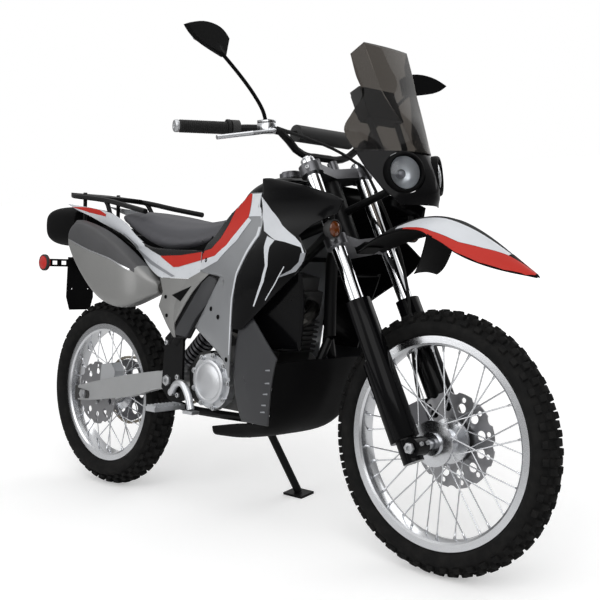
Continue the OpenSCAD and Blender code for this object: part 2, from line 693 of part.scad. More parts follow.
// plate holder with fixing holes and a slotted cross bracket
module plate_holder() {
  color("#1a1b1d") parked() translate([-plate_back, 0, 0]) difference() {
    union() {
      rotate([90, 0, 90]) linear_extrude(5)
        polygon([[-52, 808 - seat_gap], [52, 808 - seat_gap], [58, plate_low + 48], [44, plate_low],
          [-44, plate_low], [-58, plate_low + 48]]);
      translate([0, -52, 800 - seat_gap]) cube([84, 104, 8]);
      translate([0, -146, 772]) cube([5, 292, 28]);
    }
    for (y = [-120, -82, 60, 98]) translate([-1, y, 779]) cube([8, 22, 14]);
    for (y = [-35, 35]) translate([-1, y, plate_low + 78]) rotate([0, 90, 0])
      cylinder(h = 8, r = plate_hole_r);
  }
}

// tail lamp lens and the round red reflectors facing out at the ends of the bracket
module rear_lamps() {
  color("#c81f1f") parked() {
    translate([-390 - seat_gap, -30, 914]) cube([10, 60, 38]);
    both_sides() translate([2 - plate_back, 146 + seat_gap, 786]) rotate([-90, 0, 0]) {
      cylinder(h = 9, r = 29);
      cylinder(h = 13, r = 24);
    }
  }
}

// tubular rack with a flat plate and four fixing holes
module luggage_rack() {
  color("#1c1d1f") parked() {
    translate([-60, 0, rack_z]) rotate([0, rack_tilt, 0]) difference() {
      translate([-104, -rack_half + 5, -rack_plate / 2]) cube([204, 2 * rack_half - 10, rack_plate]);
      for (x = [-0.5, 0.5]) for (y = [-0.5, 0.5]) translate([x * rack_pitch, y * rack_pitch, -10])
        cylinder(h = 20, r = rack_hole_r);
    }
    both_sides() sweep(smooth([[-170, 30, rack_z + 4], [-162, 72, rack_z + 4], [-112, rack_half, rack_z - 1],
      [60, rack_half, rack_z - 19], [200, rack_half + 12, rack_z - 43], [330, rack_half + 34, rack_z - 64]], 3),
      rack_r, 8);
    sweep([[-170, 31, rack_z + 4], [-170, -31, rack_z + 4]], rack_r, 8);
    both_sides() rod([-90, 72, rack_z], [-90, 72, 927.2], 7);
  }
}

// rows of the screen and mask: z, middle x, edge y, edge x, both x from the lamps
MASK_ROWS = [[1396, -106, 78, -130], [1374, -97, 104, -130], [1330, -80, 122, -130], [1280, -60, 131, -130],
  [1220, -36, 142, -130], [1165, -12, 158, -130], [1105, 14, 152, -96], [1060, 36, 142, -66],
  [1010, 50, 120, -30], [985, 52, 100, -8], [964, 46, 80, 8]];

// curved front skin over some mask rows
module mask_skin(first, last) {
  cols = 12;
  sheet([for (i = [first:last]) let (r = MASK_ROWS[i]) [for (k = [0:cols]) let (u = 1 - 2 * k / cols)
    [nose_x + mix(r[1], r[3], u * u * (1.35 - 0.35 * u * u)), r[2] * u,
      r[0] + (i == last && last < 10 ? panel_gap : 0)]]], [-skin, 0, 0]);
}

// tall smoked screen
module windscreen() {
  color("#4a4d50") parked() mask_skin(0, 6);
}

// black lamp mask under the screen with two lamp openings
module nose_fairing() {
  color("#141517") parked() difference() {
    mask_skin(6, 10);
    both_sides() lamp_at() translate([0, 0, -60]) cylinder(h = 120, r = 56);
  }
}

// lamp axis on one side of the nose
module lamp_at() {
  translate([nose_x - 12, 60, 1046]) rotate([0, 0, 28]) rotate([0, 84, 0]) children();
}

// pair of round lamps
module headlamps() {
  color("#e8eaec") parked() both_sides() lamp_at() {
    translate([0, 0, -34]) cylinder(h = 62, r = 55);
    translate([0, 0, 20]) cylinder(h = 14, r = 48);
  }
}

// instrument box behind the screen
module instrument() {
  color("#1a1b1d") parked() translate([nose_x - 152, 0, 1238]) rotate([0, -25, 0]) translate([-18, -74, -46])
    cube([36, 148, 92]);
}

// amber front indicators under the cowl edges
module front_indicators() {
  color("#e07a1c") parked() both_sides() translate([1196, 169.2, 898]) {
    rotate([0, 90, 0]) translate([0, 0, -16]) cylinder(h = 36, r = 25);
    cylinder(h = 50, r = 8);
  }
}

// serrated footpegs, arched brake pedal on the right and shift lever on the left
module foot_controls() {
  color("#b4b7ba") parked() {
    both_sides() {
      translate([530, 141 + seat_gap, 344]) cube([44, 118, 14]);
      for (k = [0:7]) translate([530, 152 + k * 14, 357]) cube([44, 5, 6]);
      translate([540, 141 + seat_gap, 344]) cube([24, 22, 16]);
    }
    mirror([0, 1, 0]) {
      sweep(smooth([[520, 150, 392], [548, 156, 420], [584, 160, 424], [612, 162, 394], [630, 164, 350]], 3),
        7, 8, [0, 1, 0]);
      translate([612, 152, 338]) cube([44, 30, 10]);
      rod([520, 141 + seat_gap, 392], [520, 158, 392], 11);
    }
    rod([668, 112 + seat_gap, 396], [668, 154, 396], 8);
    rod([668, 149, 396], [772, 160, 352], 7);
    rod([768, 160, 354], [768, 196, 354], 9);
  }
}

// upper and lower fork clamps with the steering stem
module triple_clamps() {
  color("#2b2d30") parked() steered() {
    for (z = [lower_clamp_z, upper_clamp_z]) translate([0, 0, z]) linear_extrude(30) difference() {
      union() {
        circle(33);
        polygon([[-30, -14], [leg_x - 24, -leg_y], [leg_x + 24, -leg_y], [34, 0], [leg_x + 24, leg_y],
          [leg_x - 24, leg_y], [-30, 14]]);
        for (y = [-leg_y, leg_y]) translate([leg_x, y]) circle(32);
      }
      for (y = [-leg_y, leg_y]) translate([leg_x, y]) circle(tube_r + seat_gap);
    }
    translate([0, 0, lower_clamp_z + 5]) cylinder(h = upper_clamp_z - lower_clamp_z + 10, r = 16.44);
    for (y = [-36, 36]) translate([8, y, upper_clamp_z + 28]) cylinder(h = 41, r = 15);
  }
}

// chromed upper fork tubes with caps
module fork_tubes() {
  color("#c9ccd0") parked() both_sides() steered() translate([leg_x, leg_y, 0]) {
    translate([0, 0, axle_z + slider_top + seat_gap])
      cylinder(h = tube_top - axle_z - slider_top - seat_gap, r = tube_r);
    translate([0, 0, tube_top - 1]) cylinder(h = 9, r = 14, $fn = 6);
  }
}

// black sliders with guards and axle lugs
module fork_sliders() {
  color("#1b1c1e") parked() both_sides() steered() translate([0, 0, axle_z]) difference() {
    union() {
      translate([leg_x, leg_y, -34]) cylinder(h = slider_top + 34, r = slider_r);
      translate([leg_x, leg_y, slider_top - 36]) cylinder(h = 36, r = slider_r + 4);
      translate([leg_x - 9, leg_y + 3, 26]) cylinder(h = 220, r = slider_r + 5);
      translate([axle_offset, leg_y - 21, 0]) rotate([-90, 0, 0]) cylinder(h = 46, r = 25);
    }
    translate([axle_offset, 0, 0]) rotate([-90, 0, 0]) cylinder(h = 400, r = 9.3);
  }
}

// front axle with spacers
module front_axle() {
  color("#55585b") parked() on_axle(wheelbase, front_r) {
    translate([0, 0, -leg_y - 30]) cylinder(h = 2 * leg_y + 60, r = 9);
    for (z = [57, 28.5 - leg_y]) translate([0, 0, z]) cylinder(h = leg_y - 28.5 - 57, r = 13);
  }
}

// caliper behind the left fork leg, open around the disc
module front_caliper() {
  color("#232427") parked() difference() {
    steered() translate([leg_x - 80, leg_y - 65, axle_z + 54]) cube([60, 67, 80]);
    on_axle(wheelbase, front_r) translate([0, 0, 49]) cylinder(h = 14, r = front_disc_r + 6);
    steered() translate([leg_x - 9, leg_y + 3, axle_z]) cylinder(h = 300, r = slider_r + 5 + seat_gap);
    steered() translate([leg_x, leg_y, axle_z]) cylinder(h = 300, r = slider_r + seat_gap);
  }
}

// brake hose from the right-hand reservoir across and down the left leg to the caliper
module brake_hose() {
  path = [[bar_x + 17, -205, grip_z + 8], [bar_x + 58, -140, grip_z - 14], [bar_x + 78, -40, grip_z - 38],
    [bar_x + 84, 50, grip_z - 68], steer_point([74, 92, 800]), steer_point([82, 100, 600]),
    steer_point([72, 84, axle_z + 440]), steer_point([44, 64, axle_z + 310]),
    steer_point([10, 66, axle_z + 210]), steer_point([-10, 70, axle_z + 135])];
  color("#17181a") parked() sweep(smooth(path, 3), 4.5, 8, [1, 0, 0]);
}

// left half of the bar from the clamp to the end
BAR_HALF = concat(smooth([bar_mid + [0, 34, 0], bar_mid + [0, 62, 0], bar_mid + [2, 112, 14],
  [bar_x, 176, grip_z + 2], [bar_x - 38, 226, grip_z + 7], mix(grip_in, grip_end, -0.22)], 2), [grip_end]);

// handlebar with its cross bar
module handlebar() {
  color("#2c2e31") parked() {
    sweep(concat(reversed(to_right(BAR_HALF)), BAR_HALF), bar_r, 8);
    sweep([[bar_x, -172, grip_z + 4], [bar_x, 172, grip_z + 4]], 6, 8);
  }
}

// padded sleeve around the cross bar
module bar_pad() {
  color("#141517") parked() difference() {
    translate([bar_x, -112, grip_z + 4]) rotate([-90, 0, 0]) cylinder(h = 224, r = 24);
    translate([bar_x, -200, grip_z + 4]) rotate([-90, 0, 0]) cylinder(h = 400, r = 6 + seat_gap);
  }
}

// rubber grips with bar ends
module grips() {
  color("#111214") parked() both_sides() difference() {
    union() {
      rod(grip_in, mix(grip_in, grip_end, 1.1), grip_r);
      rod(grip_in, mix(grip_in, grip_end, 0.06), grip_r + 8);
    }
    rod(mix(grip_in, grip_end, -0.2), mix(grip_in, grip_end, 1.02), bar_r + seat_gap);
  }
}

// switch blocks and reservoirs on the bar
module hand_controls() {
  color("#26282b") parked() both_sides() {
    difference() {
      rod(mix(grip_in, grip_end, -0.2), mix(grip_in, grip_end, -0.03), 23);
      rod(mix(grip_in, grip_end, -0.3), mix(grip_in, grip_end, 0.1), bar_r + seat_gap);
    }
    translate([bar_x, 0, grip_z - 8]) linear_extrude(36) polygon([[-2.5, 206], [14, 206], [14, 234], [-30, 234]]);
  }
}

// brake and clutch levers
module hand_levers() {
  color("#b9bcc0") parked() both_sides() {
    bars([[bar_x + 17.5, 222, grip_z + 2], [bar_x + 34, 232, grip_z - 4], [bar_x + 22, 300, grip_z - 18],
      [bar_x - 4, 402, grip_z - 38]], 6);
  }
}

// mirrors on bent stalks
module mirrors() {
  color("#151618") parked() both_sides() {
    sweep(smooth([[bar_x - 12, 221, grip_z + 30.2], [bar_x - 8, 240, grip_z + 60], [bar_x, 300, grip_z + 110],
      [bar_x, 380, grip_z + 170], [bar_x, 440, grip_z + 206]], 3), 5.5, 6, [1, 0, 0]);
    translate([bar_x, 450, grip_z + 214]) rotate([0, 0, -14]) rotate([0, 90, 0]) linear_extrude(16)
      polygon([[40, -70], [20, 60], [-10, 96], [-34, 40], [-36, -50], [-10, -84]]);
  }
}

// high front mudguard, rows of x from the axle, half width, middle z and edge z, with a flap between the legs
module front_mudguard() {
  rows = [[270, 6, 790, 787], [250, 22, 802, 792], [200, 46, 836, 801], [140, 68, 876, 818], [80, 84, 910, 842],
    [10, 94, 936, 888], [-50, 94, 941, 902], [-130, 86, 926, 894], [-210, 70, 884, 868], [-260, 56, 852, 844]];
  flap = [[-14, 66, 935, 912], [-30, 62, 866, 852], [-52, 58, 812, 800], [-70, 50, 790, 784]];
  cols = 10;
  color("#1a1b1d") parked() {
    translate([wheelbase, 0, 0]) {
      sheet(arched(rows, cols), [0, 0, -skin]);
      sheet(arched(flap, 6), [skin, 0, 0]);
    }
    steered() translate([38, -36, lower_clamp_z - 18]) cube([40, 72, 18 - seat_gap]);
  }
}

// grid over rows of x, half width, middle z and edge z
function arched(rows, cols) = [for (r = rows) [for (k = [0:cols]) let (u = 2 * k / cols - 1)
  [r[0], r[1] * u, mix(r[2], r[3], u * u)]]];

// front tyre
module front_tyre() {
  color("#161718") parked() on_axle(wheelbase, front_r)
    tyre(front_r, front_half, front_rim_r, front_rim_half);
}

// front rim
module front_rim() {
  color("#cfd2d5") parked() on_axle(wheelbase, front_r) rim(front_rim_r, front_rim_half);
}

// front hub and spokes
module front_hub() {
  profile = [[5, -50], [5, 51.6], [30, 51.6], [30, 42], [60, 40], [60, 32], [34, 25], [34, -25], [60, -32],
    [60, -40], [30, -42], [30, -50]];
  color("#9fa2a6") parked() on_axle(wheelbase, front_r) laced_hub(profile, 9.06, 54, 36, front_rim_r - 29.2);
}

// front brake disc
module front_disc() {
  color("#3a3c3f") parked() on_axle(wheelbase, front_r) translate([0, 0, 52]) wave_disc(front_disc_r, 22, 12);
}

// rear tyre
module rear_tyre() {
  color("#161718") parked() on_axle(0, rear_r) tyre(rear_r, rear_half, rear_rim_r, rear_rim_half);
}

// rear rim
module rear_rim() {
  color("#cfd2d5") parked() on_axle(0, rear_r) rim(rear_rim_r, rear_rim_half);
}

// rear hub and spokes
module rear_hub() {
  profile = [[5, -63.6], [5, 66.6], [44, 66.6], [44, 46], [66, 44], [66, 36], [44, 28], [44, -28], [66, -36],
    [66, -44], [36, -46], [36, -63.6]];
  color("#9fa2a6") parked() on_axle(0, rear_r) laced_hub(profile, 10.06, 60, 40, rear_rim_r - 29.2);
}

// rear brake disc
module rear_disc() {
  color("#8d9093") parked() on_axle(0, rear_r) translate([0, 0, -68]) wave_disc(rear_disc_r, 22, 10);
}

// rear sprocket
module rear_sprocket() {
  teeth = 44;
  color("#2a2b2d") parked() on_axle(0, rear_r) translate([0, 0, 67]) linear_extrude(6) difference() {
    circle(sprocket_r, $fn = 96);
    circle(22);
    for (i = [0:5]) rotate(i * 60) translate([sprocket_r * 0.66, 0]) circle(sprocket_r * 0.19);
    for (i = [0:teeth - 1]) rotate(i * 360 / teeth) translate([sprocket_r + 1.5, 0]) circle(4.4);
  }
}

// side stand leg and foot, pivot axis tilted up at its outer end
module side_stand() {
  foot_y = stand_pivot.y + stand_reach.y;
  foot = [stand_pivot.x + stand_reach.x, foot_y, (foot_y * sin(lean) + 9 - ride_lift) / cos(lean)];
  color("#1b1c1e") parked() {
    rod(stand_pivot + 3 * [0, cos(stand_tilt), sin(stand_tilt)], foot, stand_r);
    translate(stand_pivot) rotate([stand_tilt - 90, 0, 0]) cylinder(h = 22, r = 20, center = true);
    translate(foot) rotate([lean, 0, 0]) translate([-stand_foot, -30, -9]) cube([2 * stand_foot, 60, 8]);
  }
}

frame();
frame_cradle();
seat_frame();
fairing_stay();
engine();
engine_covers();
exhaust_pipe();
silencer();
swingarm();
rear_axle();
rear_shock();
rear_caliper();
chain();
fuel_tank();
fuel_cap();
seat();
shrouds();
side_panels();
lower_cowls();
tail_panels();
frame_covers();
belly_pan();
rear_mudguard();
plate_holder();
rear_lamps();
luggage_rack();
windscreen();
nose_fairing();
headlamps();
instrument();
front_indicators();
foot_controls();
triple_clamps();
fork_tubes();
fork_sliders();
front_axle();
front_caliper();
brake_hose();
handlebar();
bar_pad();
grips();
hand_controls();
hand_levers();
mirrors();
front_mudguard();
front_tyre();
front_rim();
front_hub();
front_disc();
rear_tyre();
rear_rim();
rear_hub();
rear_disc();
rear_sprocket();
side_stand();
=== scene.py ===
"""Looks of a rally-style dual-sport motorcycle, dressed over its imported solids.

Lengths in the tables are millimetres on the upright machine: x forward from the rear axle, y to the
rider's left, z up from the ground. The stance then leans every piece over onto the side stand.
"""

import contextlib
import logging
import math
from collections.abc import Callable, Iterator, Sequence
from dataclasses import dataclass
from enum import Enum

import bpy
from mathutils import Matrix, Vector


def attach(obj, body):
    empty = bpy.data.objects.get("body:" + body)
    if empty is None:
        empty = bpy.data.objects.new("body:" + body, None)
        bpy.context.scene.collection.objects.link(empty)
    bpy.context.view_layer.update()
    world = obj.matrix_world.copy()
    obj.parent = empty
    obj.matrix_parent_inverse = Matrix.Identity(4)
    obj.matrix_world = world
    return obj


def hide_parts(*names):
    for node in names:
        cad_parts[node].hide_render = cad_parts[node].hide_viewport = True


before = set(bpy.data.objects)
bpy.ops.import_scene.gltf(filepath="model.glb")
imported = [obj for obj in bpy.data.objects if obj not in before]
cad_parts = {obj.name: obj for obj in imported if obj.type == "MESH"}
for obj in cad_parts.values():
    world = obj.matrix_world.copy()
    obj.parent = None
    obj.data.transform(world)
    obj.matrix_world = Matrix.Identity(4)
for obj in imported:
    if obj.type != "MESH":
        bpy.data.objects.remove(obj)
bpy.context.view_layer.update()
LOG = logging.getLogger("motorcycle")

Colour = tuple[float, float, float]
Flat = tuple[float, float]
Spot = tuple[float, float, float]
Obj = bpy.types.Object
Tree = bpy.types.NodeTree
Socket = bpy.types.NodeSocket
Feeds = dict[str | int, object]

MM = 0.001
WELD = 2e-5
BOTH = (1, -1)
AHEAD: Spot = (1, 0, 0)
LEFT: Spot = (0, 1, 0)
UP: Spot = (0, 0, 1)
FRONT_AXLE: Flat = (1450, 348)
REAR_AXLE: Flat = (0, 329)
TEXTURE_RANGE: Flat = (0.25, 0.75)
DUST = (0.33, 0.3, 0.27, 1)


def feed(tree: Tree, node: bpy.types.Node, feeds: Feeds) -> None:
    """Links or sets inputs of a node.

    Args:
        tree: the tree that holds the node.
        node: the node.
        feeds: a socket or a constant for each input, by its name or number.
    """
    for key, value in feeds.items():
        if isinstance(value, Socket):
            tree.links.new(value, node.inputs[key])
        else:
            node.inputs[key].default_value = value


def add_node(tree: Tree, kind: str, feeds: Feeds, **settings: object) -> bpy.types.Node:
    """Adds a shader node, sets its properties and feeds its inputs.

    Args:
        tree: the tree to add it to.
        kind: the node's type, without the start that all types share.
        feeds: a socket or a constant for each input, by its name or number.
        settings: the node's own properties.

    Returns:
        The new node.
    """
    node = tree.nodes.new(f"ShaderNode{kind}")
    for key, value in settings.items():
        setattr(node, key, value)
    feed(tree, node, feeds)
    return node


def spread(tree: Tree, value: Socket, source: Flat, target: Flat) -> Socket:
    """Maps a value from one range onto another.

    Args:
        tree: the tree to work in.
        value: the value.
        source: the range that it comes in.
        target: the range that it leaves in.

    Returns:
        The mapped value.
    """
    ends = zip(("From Min", "From Max", "To Min", "To Max"), (*source, *target))
    return add_node(tree, "MapRange", {"Value": value, **dict(ends)}).outputs["Result"]


class Grain(Enum):
    """Fine relief of a surface: scale per metre, detail, depth in metres, strength, stretch along x."""

    POLISHED = (90, 2, 0.0005, 0.04, 1)
    MOULDED = (1500, 2, 0.0002, 0.22, 1)
    CAST = (620, 6, 0.0005, 0.3, 1)
    BRUSHED = (900, 4, 0.0001, 0.25, 0.03)
    VINYL = (800, 3, 0.0004, 0.35, 1)
    RUBBER = (420, 6, 0.0006, 0.35, 1)
    FLAKE = (2600, 1, 0.0001, 0.12, 1)


@dataclass(frozen=True)
class Finish:
    """A surface finish, made as a procedural material on object coordinates."""

    name: str
    slot: str
    colour: Colour
    roughness: float = 0.4
    metallic: float = 0.0
    grain: Grain = Grain.POLISHED
    vary: float = 0.08
    coat: float = 0.0
    specular: float = 0.5
    transmission: float = 0.0
    ior: float = 1.46
    dust: float = 0.0

    def material(self) -> bpy.types.Material:
        """Builds the material once and hands out the same one after that.

        Returns:
            The node material of this finish.
        """
        made = bpy.data.materials.get(self.name)
        if made is not None:
            return made
        made = bpy.data.materials.new(self.name)
        made.use_nodes = True
        made.diffuse_color = (*self.colour, 1)
        tree = made.node_tree
        place = add_node(tree, "TexCoord", {}).outputs["Object"]
        tint = spread(tree, self._noise(tree, place, 14, 5), TEXTURE_RANGE, (1 - self.vary, 1 + self.vary))
        tinted = {0: 1, 6: (*self.colour, 1), 7: tint}
        colour = add_node(tree, "Mix", tinted, data_type="RGBA", blend_type="MULTIPLY").outputs[2]
        if self.dust > 0:
            specks = self._noise(tree, place, 38, 8)
            settled = spread(tree, specks, TEXTURE_RANGE, (-0.5 * self.dust, self.dust))
            colour = add_node(tree, "Mix", {0: settled, 6: colour, 7: DUST}, data_type="RGBA").outputs[2]
        scale, detail, depth, strength, stretch = self.grain.value
        if stretch != 1:
            place = add_node(tree, "Mapping", {"Vector": place, "Scale": (stretch, 1, 1)}).outputs["Vector"]
        if self.grain in (Grain.VINYL, Grain.FLAKE):
            fine = add_node(tree, "TexVoronoi", {"Vector": place, "Scale": scale}).outputs["Distance"]
        else:
            fine = self._noise(tree, place, scale, detail)
        rough = spread(tree, fine, TEXTURE_RANGE, (0.85 * self.roughness, 1.15 * self.roughness))
        bump = add_node(tree, "Bump", {"Strength": strength, "Distance": depth, "Height": fine})
        feed(tree, tree.nodes["Principled BSDF"], {
            "Base Color": colour, "Roughness": rough, "Normal": bump.outputs["Normal"],
            "Metallic": self.metallic, "Coat Weight": self.coat, "Coat Roughness": 0.08,
            "Specular IOR Level": self.specular, "Transmission Weight": self.transmission, "IOR": self.ior})
        return made

    @staticmethod
    def _noise(tree: Tree, place: Socket, scale: float, detail: float) -> Socket:
        """Adds a noise texture and returns its value."""
        return add_node(tree, "TexNoise", {"Vector": place, "Scale": scale, "Detail": detail}).outputs["Fac"]


class Paint:
    """All finishes of the machine."""

    FRAME_BLACK = Finish("frame_black", "black_steel", (0.005, 0.005, 0.0054), 0.36, specular=0.15)
    ENGINE_BLACK = Finish("engine_black", "engine_black", (0.007, 0.007, 0.0074), 0.5, 0, Grain.CAST,
                          specular=0.22)
    CAST_ALLOY = Finish("cast_alloy", "cast_alloy", (0.44, 0.45, 0.46), 0.34, 0.9, Grain.CAST, 0.06)
    DARK_ALLOY = Finish("dark_alloy", "dark_alloy", (0.07, 0.072, 0.076), 0.4, 0.8, Grain.CAST)
    ARM_GREY = Finish("arm_grey", "cast_alloy", (0.4, 0.405, 0.41), 0.42, 0.6, Grain.CAST, 0.05)
    BRIGHT = Finish("bright_alloy", "cast_alloy", (0.66, 0.67, 0.69), 0.2, 1, Grain.BRUSHED, 0.04)
    CHROME = Finish("chrome", "chrome", (0.25, 0.255, 0.265), 0.08, 1, Grain.POLISHED, 0.03)
    STEEL = Finish("steel", "steel", (0.42, 0.42, 0.43), 0.3, 1, Grain.BRUSHED)
    SPOKE = Finish("spoke_steel", "steel", (0.62, 0.63, 0.65), 0.22, 1, Grain.POLISHED, 0.05)
    DISC = Finish("disc_steel", "steel", (0.3, 0.3, 0.31), 0.34, 1, Grain.BRUSHED)
    CHAIN = Finish("chain_steel", "steel", (0.3, 0.27, 0.22), 0.4, 1, Grain.CAST)
    PIPE = Finish("pipe_steel", "steel", (0.05, 0.048, 0.045), 0.4, 1, Grain.CAST, 0.2)
    GLOSS = Finish("gloss_black", "black_gloss", (0.003, 0.003, 0.0034), 0.12, specular=0.11)
    SILVER = Finish("silver_paint", "silver_panel", (0.265, 0.273, 0.285), 0.38, 0.4, Grain.FLAKE, 0.04, 0.2)
    SHELL = Finish("shell_silver", "silver_panel", (0.245, 0.245, 0.24), 0.4, 0.4, Grain.FLAKE, 0.04, 0.15)
    SHELL_TOP = Finish("shell_top_grey", "grey_plastic", (0.05, 0.05, 0.053), 0.5, 0, Grain.MOULDED)
    GREY = Finish("cowl_grey", "grey_plastic", (0.034, 0.035, 0.038), 0.42, 0, Grain.MOULDED, 0.05,
                  specular=0.35)
    WHITE = Finish("pearl_white", "tail_white", (0.6, 0.62, 0.65), 0.3, 0, Grain.POLISHED, 0.03, 0.3)
    FILM_WHITE = Finish("film_white", "tail_white", (0.62, 0.64, 0.67), 0.32, 0, Grain.POLISHED, 0.03)
    FILM_RED = Finish("film_red", "tail_white", (0.47, 0.022, 0.013), 0.36, 0, Grain.POLISHED, 0.04,
                      specular=0.22)
    FILM_GREY = Finish("film_grey", "silver_panel", (0.28, 0.29, 0.31), 0.34, 0.2, Grain.FLAKE, 0.03)
    FILM_BLACK = Finish("film_black", "black_gloss", (0.006, 0.006, 0.0065), 0.26, 0, Grain.POLISHED, 0.03,
                        specular=0.3)
    PLASTIC = Finish("black_plastic", "black_plastic", (0.004, 0.004, 0.0043), 0.46, 0, Grain.MOULDED, 0.1,
                     specular=0.07)
    GUARD = Finish("guard_black", "black_plastic", (0.0032, 0.0032, 0.0034), 0.55, 0, Grain.MOULDED, 0.1,
                   specular=0.05)
    VINYL = Finish("seat_vinyl", "seat_vinyl", (0.028, 0.0285, 0.03), 0.46, 0, Grain.VINYL, 0.1, specular=0.4)
    RUBBER = Finish("grip_rubber", "rubber", (0.01, 0.01, 0.01), 0.62, 0, Grain.RUBBER, specular=0.25)
    TYRE = Finish("tyre_rubber", "tyre", (0.008, 0.008, 0.008), 0.7, 0, Grain.RUBBER, 0.15, dust=0.02,
                  specular=0.09)
    SMOKED = Finish("smoked_screen", "smoked", (0.062, 0.055, 0.048), 0.04, 0, Grain.POLISHED, 0.02,
                    transmission=1, ior=1.2)
    CLEAR = Finish("clear_lens", "lens_clear", (0.93, 0.95, 0.97), 0.03, 0, Grain.POLISHED, 0.01,
                   transmission=1, ior=1.3)
    MIRROR = Finish("mirror_glass", "chrome", (0.75, 0.77, 0.8), 0.03, 1, Grain.POLISHED, 0.01)
    RED_LENS = Finish("red_lens", "lens_red", (0.5, 0.016, 0.012), 0.16, 0, Grain.POLISHED, 0.1, 0.4)
    AMBER_LENS = Finish("amber_lens", "lens_amber", (0.11, 0.026, 0.004), 0.14, 0, Grain.POLISHED, 0.1, 0.3)


NODE_FINISH: dict[str, Finish] = {name: finish for finish, names in (
    (Paint.FRAME_BLACK, "frame frame_cradle seat_frame fairing_stay luggage_rack handlebar side_stand"),
    (Paint.ENGINE_BLACK, "engine"),
    (Paint.CAST_ALLOY, "engine_covers rear_caliper foot_controls"),
    (Paint.DARK_ALLOY, "rear_shock fuel_cap triple_clamps front_caliper rear_sprocket"),
    (Paint.ARM_GREY, "swingarm"),
    (Paint.BRIGHT, "hand_levers front_rim rear_rim"),
    (Paint.CHROME, "fork_tubes"),
    (Paint.STEEL, "rear_axle front_axle"),
    (Paint.SPOKE, "front_hub rear_hub"),
    (Paint.DISC, "front_disc rear_disc"),
    (Paint.CHAIN, "chain"),
    (Paint.PIPE, "exhaust_pipe"),
    (Paint.GLOSS, "fuel_tank shrouds nose_fairing fork_sliders"),
    (Paint.SILVER, "side_panels"),
    (Paint.SHELL, "silencer frame_covers"),
    (Paint.GREY, "lower_cowls"),
    (Paint.WHITE, "tail_panels"),
    (Paint.PLASTIC, "headlamps instrument bar_pad hand_controls mirrors"),
    (Paint.GUARD, "belly_pan rear_mudguard plate_holder front_mudguard"),
    (Paint.VINYL, "seat"),
    (Paint.RUBBER, "brake_hose grips"),
    (Paint.TYRE, "front_tyre rear_tyre"),
    (Paint.SMOKED, "windscreen"),
    (Paint.RED_LENS, "rear_lamps"),
    (Paint.AMBER_LENS, "front_indicators"),
) for name in names.split()}


@dataclass(frozen=True)
class Stance:
    """How the upright machine leans over on its stand."""

    lean: float = math.radians(9.0)
    origin: Spot = (704, 217, -0.591)

    @property
    def matrix(self) -> Matrix:
        """Upright machine in millimetres to the parked machine in metres."""
        shift = Matrix.Translation(Vector(self.origin) * -MM)
        return shift @ Matrix.Rotation(-self.lean, 4, "X") @ Matrix.Scale(MM, 4)

    def spot(self, place: Spot) -> Vector:
        """Moves one point from the upright machine to the parked one."""
        return self.matrix @ Vector(place)

    def way(self, direction: Spot) -> Vector:
        """Turns one direction from the upright machine to the parked one."""
        return (self.matrix.to_3x3() @ Vector(direction)).normalized()


STANCE = Stance()


